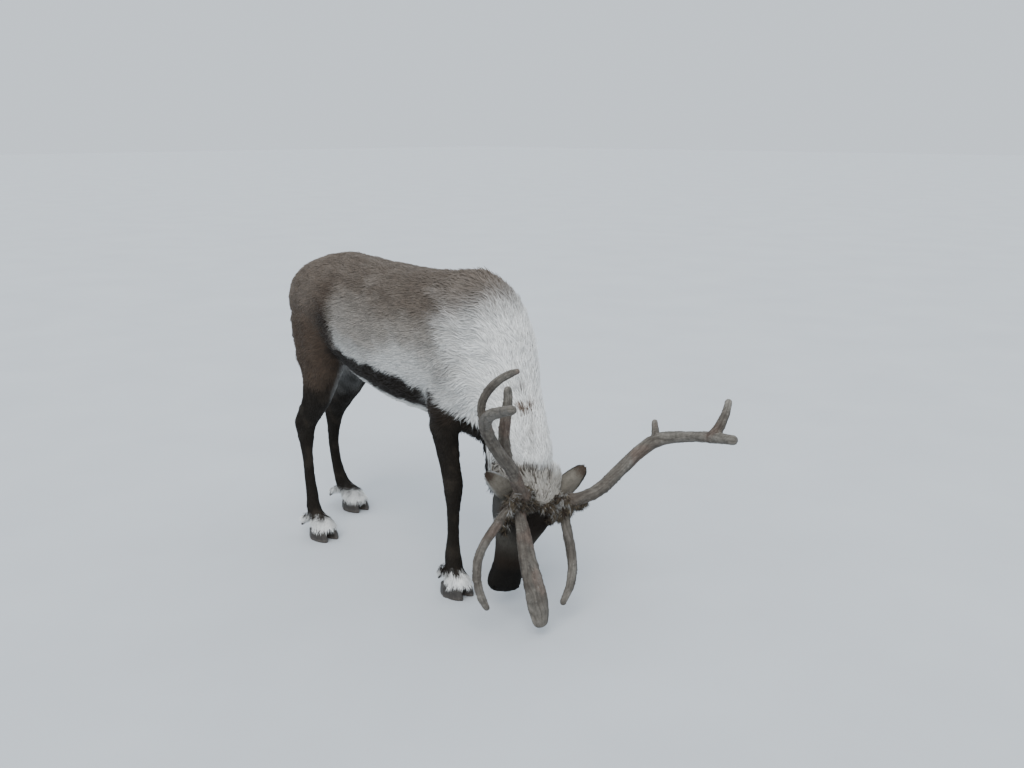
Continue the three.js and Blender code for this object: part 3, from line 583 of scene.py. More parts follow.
def shape_eye(points, side):
    """Sets the lids on the eyeball, with folds over and under them, and opens them."""
    u, v, w, (_, _, outward) = eye_local(points, side)
    v = v + u * LID_SLANT
    round_reach = np.hypot(u, v)
    near = (round_reach < 60) & (w > -25)
    ball = EYE_RADIUS + LID_THICK
    lid = np.sqrt(np.maximum(ball ** 2 - np.minimum(round_reach, ball) ** 2, 0))
    share = np.hypot(u / LID_LENGTH, v / LID_HEIGHT)
    hold = ramp(round_reach, 32, 13)
    target = w + hold * (lid - w)
    fold = -1.6 * spot(share - 1.95, 0.22) * ramp(v, -4, 6)
    fold -= spot(share - 1.9, 0.25) * ramp(v, 2, -6)
    brow = 3.6 * spot(np.hypot(u / 1.5, v - 25), 15)
    corner = -3.5 * spot(np.hypot(u - 20, v + 1), 5.5)
    rim = 0.8 * spot(share - 1.12, 0.13)
    target = target + fold + brow + corner + rim
    hidden = np.sqrt(np.maximum((EYE_RADIUS - 3.5) ** 2 - round_reach ** 2, 0))
    inside = ramp(share, 1.03, 0.93)
    target = target * (1 - inside) + hidden * inside
    return points + np.where(near, target - w, 0)[:, None] * outward


NOSTRIL_PLACE = np.array([358.0, 41, -66])
MOUTH_TRACK = [[0.735, 0.3], [0.79, 0.48], [0.85, 0.56], [0.91, 0.56], [0.96, 0.5]]
MOUTH_FRONT = [385, 0, -90]


def distance_to_track(places, track):
    best = np.full(len(places), 1e9)
    for a, b in zip(track[:-1], track[1:]):
        t = np.clip((places - a) @ (b - a) / ((b - a) @ (b - a)), 0, 1)
        best = np.minimum(best, np.linalg.norm(places - (a + t[:, None] * (b - a)), axis=1))
    return best


def mouth_track():
    right = [head_point(t, math.pi + drop) for t, drop in MOUTH_TRACK]
    left = [head_point(t, -drop) for t, drop in MOUTH_TRACK][::-1]
    return np.array(right + [MOUTH_FRONT] + left)


def shape_muzzle(points, normals):
    """Nostrils with raised rims, the mouth line and the lips."""
    h = to_head(points)
    rise = np.zeros(len(points))
    for side in (-1, 1):
        rel = h - NOSTRIL_PLACE * [1, side, 1]
        long_axis = unit([0.75, side * 0.35, 0.4])
        t = rel @ long_axis
        away = np.linalg.norm(rel - np.outer(t, long_axis), axis=1)
        share = np.hypot(t / 12, away / 5.2)
        rise += -9 * ramp(share, 1.15, 0.35) + 2.2 * spot(share - 1.75, 0.45)
    gap = distance_to_track(h, mouth_track())
    rise += -3.6 * spot(gap, 2.4) + 1.7 * spot(gap - 7, 4.5)
    groove = spot(h[:, 1], 2.2) * ramp(h[:, 0], 352, 372) * ramp(h[:, 2], -92, -80)
    rise += -1.6 * groove
    return points + normals * rise[:, None]


def shape_face(points, normals):
    """Cheek, jaw, nose bridge and the hollow before the eye."""
    h = to_head(points)
    d, l, o = h[:, 0], np.abs(h[:, 1]), h[:, 2]
    face = ramp(d, 10, 40)
    rise = 2.5 * spot(np.hypot((d - 95) / 1.5, o + 125), 34) * ramp(l, 40, 70)
    rise -= 2.6 * spot(np.hypot((d - 190) / 1.7, o + 100), 20) * ramp(l, 30, 50)
    rise += 2.0 * spot(np.hypot((d - 262) / 2.4, l - 20), 13) * ramp(o, -70, -50)
    rise -= 2.0 * spot(np.hypot((d - 160) / 1.8, o + 60), 13) * ramp(l, 40, 60)
    rise += 2.4 * spot(np.hypot((d - 160) / 2.6, o + 84), 9) * ramp(l, 35, 55)
    return points + normals * (rise * face)[:, None]


def head_depth(down):
    return 1.2 + 2.5 * ramp(down, 300, 180) + 6 * ramp(down, 70, -20)


def coat_depth(points, own):
    """How far the skin lies under the tips of the coat."""
    legs, head = legs_of(own), own["head"]
    depth = np.full(len(points), 9.0)
    depth[own["neck"]] = 14
    depth[legs] = 1.2 + 3.4 * ramp(points[legs, 2], 480, 700)
    depth[head] = head_depth(to_head(points)[head, 0])
    return depth


# Markings: colours of the coat, and where each lies
GREY_BROWN = np.array([0.108, 0.088, 0.072])
PALE_BROWN = np.array([0.27, 0.252, 0.228])
PALE_GREY = np.array([0.60, 0.605, 0.595])
CREAM = np.array([0.84, 0.845, 0.83])
DARK_BROWN = np.array([0.042, 0.030, 0.022])
LEG_BROWN = np.array([0.013, 0.0105, 0.008])
BLACKISH = np.array([0.007, 0.006, 0.005])
WHITE = np.array([0.76, 0.75, 0.72])
FACE_GREY = np.array([0.055, 0.05, 0.042])
CLUMP_BROWN = np.array([0.085, 0.068, 0.047])
RUST = np.array([0.16, 0.09, 0.05])
POLL_GREY = np.array([0.37, 0.35, 0.315])

# Marks on the neck: a brown stain, a small dark spot over it and a soft streak below
STAIN_PLACE = np.array([217, -36, 648])
MARK_PLACE = np.array([196, -37, 706])
STREAK_TRACK = np.array([[228, -38, 618], [262, -60, 537]])


def over(base, color, share):
    share = np.clip(share, 0, 1)[:, None]
    return base * (1 - share) + color * share


def layered(base, layers):
    """base under layers, each a colour and its share at every point."""
    for color, share in layers:
        base = over(base, color, share)
    return base


def markings(points, normals):
    """The colour of the coat at design points; the coat and the skin both take it from here."""
    x, y, z = points.T
    down, left, out = to_head(points).T
    soft = wobble(points, 260, 3)
    fine = wobble(points, 70, 4)
    tiny = wobble(points * [1, 1, 2.2], 26, 5)

    # Trunk: grey-brown back, paler flank. Shoulder and neck: pale grey, whiter down the side
    shade = z + 26 * soft + 16 * fine
    flank = spot(np.hypot((x + 430) / 1.2, z - 900), 130)
    front = ramp(x + 0.16 * (z - 900) + 26 * fine, -120, 60)
    side = ramp(x - 0.15 * (z - 800) + 14 * fine, 30, 150)
    withers = spot(np.hypot((x - 10) / 1.3, z - 1010 + 20 * fine), 70)
    color = layered(GREY_BROWN, [
        (PALE_BROWN, 0.75 * ramp(shade, 960, 850)),
        (PALE_GREY, 0.85 * ramp(shade, 860, 720) * ramp(x, -700, -420)),
        (PALE_BROWN, 0.35 * flank * ramp(fine, -0.4, 0.6)),
        (PALE_GREY, 0.9 * front * ramp(z, 1075, 880)),
        (CREAM, 0.85 * side * ramp(z + 20 * soft, 1050, 900)),
        (GREY_BROWN * 1.25, 0.75 * withers),
    ])
    # Hindquarters: dark, with a browner rump and painted shade in a fold. Lower flank: a dark stripe over
    # white.
    # Brisket and upper arm: dark below a line that falls towards the throat
    rear = ramp(x + 0.12 * (z - 850) + 12 * fine, -535, -610)
    # Painted shade: a dark band where the flank folds into the thigh
    fold = spot(x + 0.12 * (z - 850) + 612, 50) * ramp(z + 14 * fine, 950, 860)
    line = 707 - 0.15 * (x + 447) + 5 * fine
    half = (27 + 17 * spot(x + 310, 140)) * ramp(x, -760, -520)
    stripe = spot(np.maximum(np.abs(z - line) - half, 0), 10) * ramp(x, -650, -600)
    under = ramp(z - line, -half - 4, -half - 22) * ramp(x, -620, -540) * ramp(x, -70, -110)
    edge = np.minimum(700 - 0.8 * (x + 70), np.maximum(612 + 2.6 * (x + 105), 600)) + 10 * fine
    brisket = ramp(z, edge + 16, edge - 12) * ramp(x, -175, -125) * ramp(z, 420, 470)
    color = layered(color, [
        (DARK_BROWN * 1.5, rear * ramp(shade, 1040, 900)),
        (GREY_BROWN * 1.2, 0.85 * rear * ramp(z, 800, 950) * ramp(x, -620, -740)),
        (DARK_BROWN * 0.45, 0.95 * fold),
        (DARK_BROWN * 0.25, stripe * ramp(x, -60, -130)),
        (WHITE * 0.9, under * (z > 480)),
        (DARK_BROWN * 0.5, brisket * ramp(x + 14 * fine, 150, 80)),
    ])
    # Legs with paler inner sides and white socks, and the rump patch
    leg = ramp(z + 14 * fine, 640, 560) * (1 - under) * ((x < -560) | ((x < 90) & (z < 600)))
    inner = ramp(normals[:, 1] * np.sign(y), 0.3, -0.7) * ramp(z + 20 * fine, 470, 650)
    patch = ramp(x - 0.5 * (z - 950), -892, -926) * ramp(np.abs(y), 104, 74) * ramp(z, 760, 830)
    color = layered(color, [
        (LEG_BROWN, leg),
        (LEG_BROWN * 2.4, 0.5 * leg * ramp(fine + 0.4 * tiny, 0.2, 1.0)),
        (PALE_GREY * 0.55, 0.55 * inner * ramp(z, 760, 640) * (x < -560)),
        (CREAM, ramp(z + 9 * tiny, 92, 70) * (x < 90)),
        (WHITE, patch),
    ])
    # Lower neck, greyer towards the poll, its marks and the pale upper arm
    neck = ramp(x, 90, 150) * ramp(z, 300, 360)
    stain = np.linalg.norm((points - STAIN_PLACE) * [1, 1, 1.9], axis=1) + 7 * tiny
    mark = np.linalg.norm(points - MARK_PLACE, axis=1) + 7 * tiny
    streak = distance_to_track(points, STREAK_TRACK)
    upper_arm = spot(np.hypot(x + 15, (z - 745 + 12 * fine) / 1.5), 44)
    color = layered(color, [
        (PALE_GREY, 0.7 * neck * ramp(z + 14 * fine, 560, 470)),
        (CREAM, 0.5 * neck * ramp(np.abs(z - 610), 90, 30)),
        (RUST * 0.8, 0.9 * spot(np.maximum(stain - 16, 0), 16)),
        (DARK_BROWN * 0.8, 0.95 * spot(stain, 20)),
        (DARK_BROWN, 0.9 * spot(mark, 17)),
        (GREY_BROWN, 0.6 * spot(streak, 17) * ramp(tiny + fine, -0.4, 0.5)),
        (PALE_BROWN * 0.7, 0.5 * upper_arm * (np.abs(y) > 40)),
    ])
    # Head: grey poll with painted shade in a crease, dark forehead and muzzle, paler cheek and lower lip
    head = ramp(down + 8 * fine, -60, -34) * ramp(np.abs(left), 150, 120) * (x > 130) * (z < 520)
    poll = over(POLL_GREY, DARK_BROWN, 0.9 * ramp(tiny + 0.5 * fine, 0.25, 0.95))
    # Painted shade along a crease across the poll
    poll_crease_shade = spot(down + 45 + 5 * tiny, 9) * ramp(np.abs(left + 28), 62, 36) * ramp(out, -110, -60)
    face = head * ramp(down + 8 * fine, 42, 84)
    forehead = face * ramp(out + 0.12 * np.abs(left), -34, -12) * ramp(down, 330, 250)
    cheek = face * spot(np.hypot((down - 130) / 1.6, out + 118), 48)
    color = layered(color, [
        (poll, head),
        (DARK_BROWN * 0.7, 0.9 * poll_crease_shade * (x > 130)),
        (FACE_GREY, face),
        (DARK_BROWN * 0.28, forehead),
        (PALE_GREY * 0.1, 0.85 * cheek),
        (DARK_BROWN * 0.4, face * ramp(down, 205, 275) * ramp(out, -118, -96)),
        (BLACKISH, face * ramp(down + 5 * tiny, 268, 312) * ramp(out, -124, -108)),
        (PALE_GREY * 0.34, 0.8 * face * ramp(down, 250, 300) * ramp(out, -104, -114)),
    ])
    for eye_side in (-1, 1):
        u, v, w, _ = eye_local(points, eye_side)
        ring = spot(np.maximum(np.hypot(u / 1.35, v) - 13, 0), 6) * ramp(w, -20, 5)
        color = over(color, BLACKISH * 1.6, face * ring)
    throat = head * ramp(out + 8 * fine, -150, -195) * ramp(down, 250, 150)
    color = over(color, CREAM * 0.8, throat)
    return color * (1 + 0.07 * fine + 0.06 * tiny)[:, None]


# Skin: one closed surface for the trunk, neck, head, tail and legs
def refine(mesh, chosen):
    """Each face whose corners are all chosen is split in four."""
    bm = bmesh.new()
    bm.from_mesh(mesh)
    bm.verts.ensure_lookup_table()
    edges = [e for e in bm.edges if chosen[e.verts[0].index] and chosen[e.verts[1].index]]
    bmesh.ops.subdivide_edges(bm, edges=edges, cuts=1, use_grid_fill=True)
    bm.to_mesh(mesh)
    bm.free()
    mesh.update()


def head_snapped(points):
    """Points near the head's side drawn onto its smooth loft, short of the coat's depth."""
    d, l, o = to_head(points).T
    t_of = np.linspace(0, 1, 400)
    table = head_curve(t_of)
    t = np.interp(d, table[:, 0], t_of)
    _, top, bottom, half = head_curve(t).T
    middle = bottom + (top - bottom) * WIDEST
    tall = np.where(o > middle, top - middle, middle - bottom) - head_depth(d)
    wide = half - head_depth(d)
    power = 2 / SQUARENESS
    reach = ((np.abs(l) / wide) ** power + (np.abs(o - middle) / tall) ** power) ** (1 / power)
    snapped = np.stack([d, l / reach, middle + (o - middle) / reach], axis=1)
    outward = unit(np.stack([np.zeros_like(d), l / wide, (o - middle) / tall], axis=1))
    snapped = bumped(snapped, outward)
    keep = ramp(d, 20, 60) * ramp(d, 372, 352) * ramp(reach, 0.5, 0.8) * ramp(reach, 1.35, 1.15)
    return points + (on_head(snapped) - points) * keep[:, None]


def make_skin_surface():
    parts = [node_arrays(n) for n in TRUNK_NODES]
    for points, faces in (neck_loft(), head_loft(), pedicle_loft("left"), pedicle_loft("right")):
        parts.append((place(points), faces))
    points, faces = merged(parts)
    source = new_object("skin_source", points, faces)
    cleaned(source.data)
    set_points(source.data, points + normals_of(source.data) * CLOSING * MM)
    mesh = remeshed(source, BODY_VOXEL * MM)
    edges = edges_of(mesh)
    points = design(smoothed(points_of(mesh), edges, 8))
    depth = smoothed(coat_depth(points, region_of(place(points))), edges, 12)
    set_points(mesh, points)
    points = points - normals_of(mesh) * (depth + CLOSING * 0.6)[:, None]
    points = smoothed(points, edges, 3)
    set_points(mesh, points)
    # Finer faces on the head, again round the eyes and on the muzzle, and once more at the lids
    refine(mesh, (to_head(points)[:, 0] > FINE_HEAD) & (points[:, 0] > HEAD_FRONT))
    set_points(mesh, head_snapped(points_of(mesh)))
    points = points_of(mesh)
    refine(mesh, (eye_distance(points) < FINE_EYE) | (to_head(points)[:, 0] > FINE_MUZZLE))
    points = head_snapped(smoothed(points_of(mesh), edges_of(mesh), 1))
    set_points(mesh, shape_face(points, normals_of(mesh)))
    refine(mesh, eye_distance(points_of(mesh)) < FINE_LIDS)
    points = points_of(mesh)
    for side in (-1, 1):
        points = shape_eye(points, side)
    set_points(mesh, points)
    set_points(mesh, shape_muzzle(points, normals_of(mesh)))
    points = points_of(mesh)
    points[:, 2] = np.maximum(points[:, 2], SKIN_FLOOR)
    set_points(mesh, points)
    return mesh


EARS = {
    "left": ([20, 82, -34], [-84, 178, -54], [0.62, 0.42, -0.66]),
    "right": ([50, -84, -60], [-6, -194, -48], [0.35, 0.15, -0.9]),
}
EAR_LENGTH, EAR_WIDTH, EAR_SHEET = 128, 68, 4.6
EAR_PROFILE = [
    [-0.16, 0.56, 0.3, 1.6], [0, 0.66, 0.36, 1.4], [0.2, 0.94, 0.4, 1.15], [0.45, 0.98, 0.34, 1],
    [0.7, 0.82, 0.24, 1], [0.89, 0.6, 0.16, 1], [1, 0.26, 0.06, 0.8],
]
EAR_RINGS, EAR_POINTS = 40, 17
EAR_DARK = {"left": (0.5, 0.85), "right": (0.66, 0.9)}
EAR_GREY = {"left": FACE_GREY * 2.6, "right": FACE_GREY * 3.0}
EAR_RIM = {"left": BLACKISH * 2, "right": PALE_GREY * 0.5}
# Length, width, lift and layers of the ears' tufts
EAR_TUFTS = [9, 1.7, 0.18, 1.7]


def ear_axes(side):
    root, tip, facing = EARS[side]
    start = on_head(root)
    axis = unit(on_head(tip) - start)
    facing = np.array(facing) @ HEAD_AXES
    facing = unit(facing - axis * (facing @ axis))
    return start, axis, facing, np.cross(axis, facing)


def ear_loft(side):
    """A cupped leaf whose back and hollow are one closed sheet."""
    start, axis, facing, across = ear_axes(side)
    profile = curve_through(EAR_PROFILE)
    rings = []
    for t in np.linspace(0, 1, EAR_RINGS):
        at, width, cup, sheet = profile(t)
        middle = start + axis * at * (EAR_LENGTH - 3)
        half = EAR_WIDTH / 2 * width - 1
        depth = EAR_WIDTH * cup * width
        s = np.linspace(-1, 1, EAR_POINTS)
        bend = depth * (1 - s ** 2)
        thick = EAR_SHEET * sheet * (1 - 0.45 * s ** 2)
        back = middle + np.outer(half * s, across) - np.outer(bend - 0.6, facing)
        hollow = middle + np.outer(half * s * 0.94, across) + np.outer(thick - bend, facing)
        rings.append(np.concatenate([back, hollow[::-1]]))
    return loft(rings)


def ear_colors(points, side):
    start, axis, facing, across = ear_axes(side)
    rel = points - start
    up = rel @ axis / EAR_LENGTH
    sideways = np.abs(rel @ across) / (EAR_WIDTH / 2)
    _, width, cup, _ = curve_through(EAR_PROFILE)(np.clip((up + 0.16) / 1.16, 0, 1)).T
    reach = sideways / np.maximum(width, 0.1)
    bend = EAR_WIDTH * cup * width * (1 - np.minimum(reach, 1) ** 2)
    inside = ramp(rel @ facing + bend, 1.5, 3.5)
    rim = ramp(reach, 0.78, 0.97)
    tiny = wobble(points, 18, 8)
    color = layered(EAR_GREY[side], [
        (DARK_BROWN * 1.1, ramp(up + 0.05 * tiny, *EAR_DARK[side])),
        (EAR_RIM[side], rim * ramp(up, 0.2, 0.5)),
        (DARK_BROWN * 0.9, inside * (1 - rim) * 0.95),
    ])
    return color * (1 + 0.12 * tiny)[:, None]


def make_skin():
    surface = make_skin_surface()
    body_points = points_of(surface)
    colors = [markings(body_points, normals_of(surface))]
    parts = [(body_points, faces_of(surface))]
    for side in SIDES:
        ear = ear_loft(side)
        parts.append(ear)
        colors.append(ear_colors(ear[0], side))
    points, faces = merged(parts)
    skin = new_object("skin", place(points), faces)
    cleaned(skin.data, triangulate=True)
    paint(skin.data, np.concatenate(colors))
    nodes = TRUNK_NODES + ["neck", "head", "ear_left", "ear_right"]
    finish_piece(skin, nodes, skin_material())
    return skin, len(body_points)


# Coat: tapered tufts that follow the lie of the fur
COAT_RINGS = 2
# The share of its length times width that one tuft covers
TUFT_COVER = 0.6
# How deep the roots are set in the skin, and the lowest that any hair may reach
ROOT_SINK, LOWEST_HAIR = 0.6, 3
# No tufts grow lower than this, nearer than this to a nostril, or within these reaches of an eye
BALD_BELOW, BALD_NOSTRIL, BALD_LIDS = 41, 12, (19, 12.5)
# The size of one tuft's place on the unwrap
TUFT_PATCH = 0.003
TUFT_BUDGET = 115000
PIECE_LIMIT = 19000


def lie_of_coat(points, own):
    """Which way the fur lies at each skin vertex, before it is smoothed."""
    x, y, z = points.T
    h = to_head(points)
    full = np.ones(len(x))
    flow = np.tile([-1.0, 0, -0.28], (len(x), 1))
    trunk, legs, neck, head = own["torso"], legs_of(own), own["neck"], own["head"]
    drop = -0.25 - 0.5 * ramp(x, -560, -860) - 0.3 * ramp(x, -150, 60)
    flow[trunk] = np.stack([-full, np.sign(y) * 0.02, drop], axis=1)[trunk]
    back = -0.9 * ramp(z, 520, 800) - 0.12
    flow[legs] = np.stack([back, 0 * full, -full], axis=1)[legs]
    middle, along, _, up, _ = neck_frame(np.linspace(0.02, 0.98, 120))
    close = np.argmin(np.linalg.norm(points[neck][:, None, :] - middle[None], axis=2), axis=1)
    crest = np.sum(unit(points[neck] - middle[close]) * up[close], axis=1)
    hang = ramp(crest, 0.05, -0.45)[:, None]
    back_up = -along[close] + np.array([-0.25, 0, -0.1])
    flow[neck] = back_up * (1 - hang) + (along[close] + [-0.25, 0, -0.7]) * hang
    up_face = np.stack([-full, np.sign(h[:, 1]) * 0.25 * ramp(h[:, 0], 250, 40), -0.12 * full], axis=1)
    flow[head] = (up_face @ HEAD_AXES)[head]
    flow[own["tail"]] = [-0.2, 0, -1]
    for side, sign in SIDES.items():
        flow[own["ears"] & (h[:, 1] * sign > 0)] = ear_axes(side)[1]
    return flow


def coat_sizes(points, own):
    """Length, width and lift of the tufts, and how many layers lie over one another."""
    x, _, z = points.T
    down = to_head(points)[:, 0]
    sizes = np.tile([27.0, 2.9, 0.22, 2.3], (len(points), 1))
    sizes[:, 0] += 6 * ramp(x, -60, 60) - 6 * ramp(x, -520, -700)
    sizes[own["neck"]] = [36, 2.9, 0.24, 2.3]
    upper, ring = ramp(z, 430, 660), ramp(z, 108, 78)
    on_legs = np.stack([11 + 12 * upper + 15 * ring, 2.1 + 1.1 * upper - 0.3 * ring,
                        0.2 - 0.04 * ring, 1.7 + 0.4 * upper + 1.7 * ring], axis=1)
    poll = ramp(down, 90, 20)
    on_face = np.stack([6 + 6 * ramp(down, 300, 200) + 10 * poll,
                        1.35 + 0.5 * ramp(down, 300, 180) + 1.8 * poll,
                        0.16 + 0.06 * poll, 1.5 + 0.9 * poll], axis=1)
    for chosen, values in ((legs_of(own), on_legs), (own["head"], on_face)):
        sizes[chosen] = values[chosen]
    sizes[own["tail"]] = [40, 4, 0.3, 2.3]
    sizes[own["ears"]] = EAR_TUFTS
    return sizes


def tuft_share(t):
    """How wide a tuft is at t, of its full width."""
    if t < 0.35:
        return 0.62 + 0.38 * math.sin(math.pi * min(t / 0.7, 1))
    return 1.0 - 0.75 * ((t - 0.35) / 0.65) ** 1.4


def tuft_solids(tufts, rings):
    """Closed tapered wedges: three-sided rings up the tuft and a tip. Returns points and triangles."""
    across = unit(np.cross(tufts["normal"], tufts["direction"]))
    layers = []
    for t in np.linspace(0, 1, rings + 1)[:-1]:
        middle = tuft_middle(tufts, across, t)
        width = tufts["width"] * tuft_share(t)
        half = across * (width / 2)[:, None]
        ridge = tufts["normal"] * (width * 0.34)[:, None]
        layers += [middle - half, middle + half, middle + ridge]
    layers.append(tuft_middle(tufts, across, 1.0))
    points = np.stack(layers, axis=1)
    tris = [(0, 2, 1)]
    for i in range(rings - 1):
        for a, b in ((0, 1), (1, 2), (2, 0)):
            low_a, low_b, high_a, high_b = 3 * i + a, 3 * i + b, 3 * i + 3 + a, 3 * i + 3 + b
            tris += [(low_a, low_b, high_b), (low_a, high_b, high_a)]
    top, tip = 3 * (rings - 1), 3 * rings
    tris += [(top, top + 1, tip), (top + 1, top + 2, tip), (top + 2, top, tip)]
    count, size = points.shape[:2]
    tris = np.array(tris)[None] + (np.arange(count) * size)[:, None, None]
    return points.reshape(-1, 3), tris.reshape(-1, 3), size


def tuft_middle(tufts, across, t):
    """The middle line of each tuft at t, which is 0 at its root and 1 at its tip."""
    length, lift = tufts["length"], tufts["lift"]
    rise = lift * (t - 0.5 * t * t) * 1.6
    return (tufts["root"] + tufts["direction"] * (length * t * (1 - 0.25 * lift))[:, None]
            + tufts["normal"] * (length * rise - ROOT_SINK)[:, None]
            + across * (length * tufts["bend"] * t * t)[:, None])


def tuft_steps(rings):
    return np.array([t for t in np.linspace(0, 1, rings + 1)[:-1] for _ in range(3)] + [1.0])


def build_coat(name, tufts, rings, material):
    """One coat piece from an array of tufts, coloured and mapped root by root."""
    points, tris, size = tuft_solids(tufts, rings)
    mesh = bpy.data.meshes.new(name)
    mesh.vertices.add(len(points))
    points[:, 2] = np.maximum(points[:, 2], LOWEST_HAIR)
    mesh.vertices.foreach_set("co", place(points).astype(np.float32).ravel())
    mesh.loops.add(len(tris) * 3)
    mesh.loops.foreach_set("vertex_index", tris.astype(np.int32).ravel())
    mesh.polygons.add(len(tris))
    mesh.polygons.foreach_set("loop_start", np.arange(0, len(tris) * 3, 3, dtype=np.int32))
    mesh.update(calc_edges=True)
    steps = tuft_steps(rings)
    # Each tuft is painted darker at its root and lighter at its tip: painted shade deep in the coat and
    # painted light on the tips
    shade = (0.8 + 0.28 * steps)[None, :, None] * tufts["tone"][:, None, None]
    paint(mesh, (tufts["color"][:, None, :] * shade).reshape(-1, 3))
    corners = np.array([[0, 0], [1, 0], [0.5, 0.3]] * rings + [[0.5, 1]])
    corners[:, 1] = np.maximum(corners[:, 1] * 0.3, steps)
    uv = 0.02 + 0.955 * tufts["uv"][:, None, :] + TUFT_PATCH * corners[None]
    layer = mesh.uv_layers.new(name="OFBake")
    layer.data.foreach_set("uv", uv.reshape(-1, 2)[tris.ravel()].astype(np.float32).ravel())
    finish_piece(added(name, mesh), [], material)
    skin_side = np.repeat(tufts["normal"], size, axis=0)
    mesh.normals_split_custom_set_from_vertices(unit(normals_of(mesh) * 0.45 + skin_side * 0.55).tolist())


def unwrap_of(points, part):
    """A place on an unwrap of the part's own shape, as along and around it."""
    if part == "ears":
        return ear_unwrap(points)
    x, y, z = points.T
    if part in LEGS:
        x, y = (points[:, :2] - leg_middle(points)).T
    down, left, out = to_head(points).T
    span, ring = {
        "torso": ((x, -1020, 190), (y, z - 810)),
        "neck": ((z - 0.4 * x, 180, 1100), (y + 20, x - 120 + 0.55 * (z - 680))),
        "head": ((down, -90, 390), (left, out + 80)),
        "tail": ((z, 790, 1010), (y, x + 965)),
    }.get(part, ((z, 30, 1000), (x, y)))
    return np.stack([ramp_line(*span), around(*ring)], axis=1)


def ramp_line(value, start, end):
    return np.clip((value - start) / (end - start), 0, 1)


def around(a, b):
    return np.arctan2(b, a) / (2 * math.pi) + 0.5


LEG_SLICE, LEG_SLICES = 30, 41


def leg_middle(points):
    """The middle line of the leg at each height, from the points of level slices of it."""
    order = np.clip((points[:, 2] / LEG_SLICE).astype(int), 0, LEG_SLICES - 1)
    count = np.maximum(np.bincount(order, minlength=LEG_SLICES), 1)
    sums = [np.bincount(order, points[:, c], LEG_SLICES) for c in (0, 1)]
    return np.stack([(total / count)[order] for total in sums], axis=1)


def wanted(points, tris, density):
    """How many tufts each triangle should carry."""
    a, b, c = (points[tris[:, k]] for k in range(3))
    area = np.linalg.norm(np.cross(b - a, c - a), axis=1) / 2
    return area * density[tris].mean(axis=1)


def scatter(want, tris, fields):
    """Roots on the triangles, as many on each as it wants, with every field read there."""
    number = np.floor(want + random.random(len(want))).astype(int)
    corner = tris[np.repeat(np.arange(len(tris)), number)]
    r1, r2 = np.sqrt(random.random(len(corner))), random.random(len(corner))
    weights = np.stack([1 - r1, r1 * (1 - r2), r1 * r2], axis=1)

    def spread(values):
        picked = values[corner]
        shape = weights.reshape(weights.shape + (1,) * (picked.ndim - 2))
        return (picked * shape).sum(axis=1)

    return {name: spread(values) for name, values in fields.items()}


def make_coat(skin, body_count):
    material = coat_material()
    mesh = skin.data
    points, normals, edges = design(points_of(mesh)), normals_of(mesh), edges_of(mesh)
    body = np.arange(len(points)) < body_count
    own = {name: chosen & body for name, chosen in region_of(place(points)).items()}
    own["ears"] = ~body
    flow = laid(smoothed(unit(lie_of_coat(points, own)), edges, 26), normals)
    length, width, lift, layers = smoothed(coat_sizes(points, own), edges, 20).T
    h = to_head(points)
    bald = points[:, 2] < BALD_BELOW
    for side in (-1, 1):
        u, v, w, _ = eye_local(points, side)
        bald |= (np.hypot(u / BALD_LIDS[0], v / BALD_LIDS[1]) < 1) & (w > 0)
        bald |= np.linalg.norm(h - NOSTRIL_PLACE * [1, side, 1], axis=1) < BALD_NOSTRIL
    density = np.where(bald, 0, layers / (length * width * TUFT_COVER))
    color = read_rows(mesh.color_attributes["coat"].data, "color", 4, np.float32)[:, :3].astype(float)
    tris = read_rows(mesh.polygons, "vertices", 3, int)
    density = density * min(1, TUFT_BUDGET / wanted(points, tris, density).sum())
    # The areas are taken at the precision of a mesh in millimetres
    want = wanted(points.astype(np.float32).astype(float), tris, density)
    part_shares = np.stack(list(own.values()), axis=1).astype(float)
    tufts = scatter(want, tris, {
        "root": points, "normal": normals, "direction": flow, "length": length, "width": width,
        "lift": lift, "color": color, "part": part_shares})
    tufts["part"] = tufts["part"].argmax(axis=1)
    tufts["normal"] = unit(tufts["normal"])
    clump = wobble(tufts["root"], 34, 21)
    swirl = wobble(tufts["root"], 90, 22)
    count = len(clump)
    across = np.cross(tufts["normal"], tufts["direction"])
    turn = 0.17 * swirl + 0.1 * clump + random.normal(0, 0.11, count)
    turn *= 0.5 + 0.6 * ramp_line(tufts["length"], 12, 26)
    tufts["direction"] = laid(unit(tufts["direction"] + across * turn[:, None]), tufts["normal"])
    tufts["length"] *= random.uniform(0.72, 1.22, count) * (1 + 0.12 * clump)
    tufts["width"] *= random.uniform(0.82, 1.34, count)
    tufts["lift"] *= random.uniform(0.6, 1.25, count) * (1 + 0.2 * clump)
    tufts["bend"] = random.normal(0, 0.1, count) + 0.08 * swirl
    tufts["tone"] = random.uniform(0.86, 1.12, count) * (1 + 0.05 * clump)
    for k, part in enumerate(own):
        chosen = tufts["part"] == k
        on_part = {key: value[chosen] for key, value in tufts.items()}
        on_part["uv"] = unwrap_of(on_part["root"], part)
        pieces = max(1, math.ceil(chosen.sum() / PIECE_LIMIT))
        for i, share in enumerate(np.array_split(np.argsort(on_part["uv"][:, 0]), pieces)):
            label = f"coat_{part}" + (f"_{i + 1}" if pieces > 1 else "")
            piece_tufts = {key: value[share] for key, value in on_part.items()}
            build_coat(label, piece_tufts, COAT_RINGS, material)
    return material


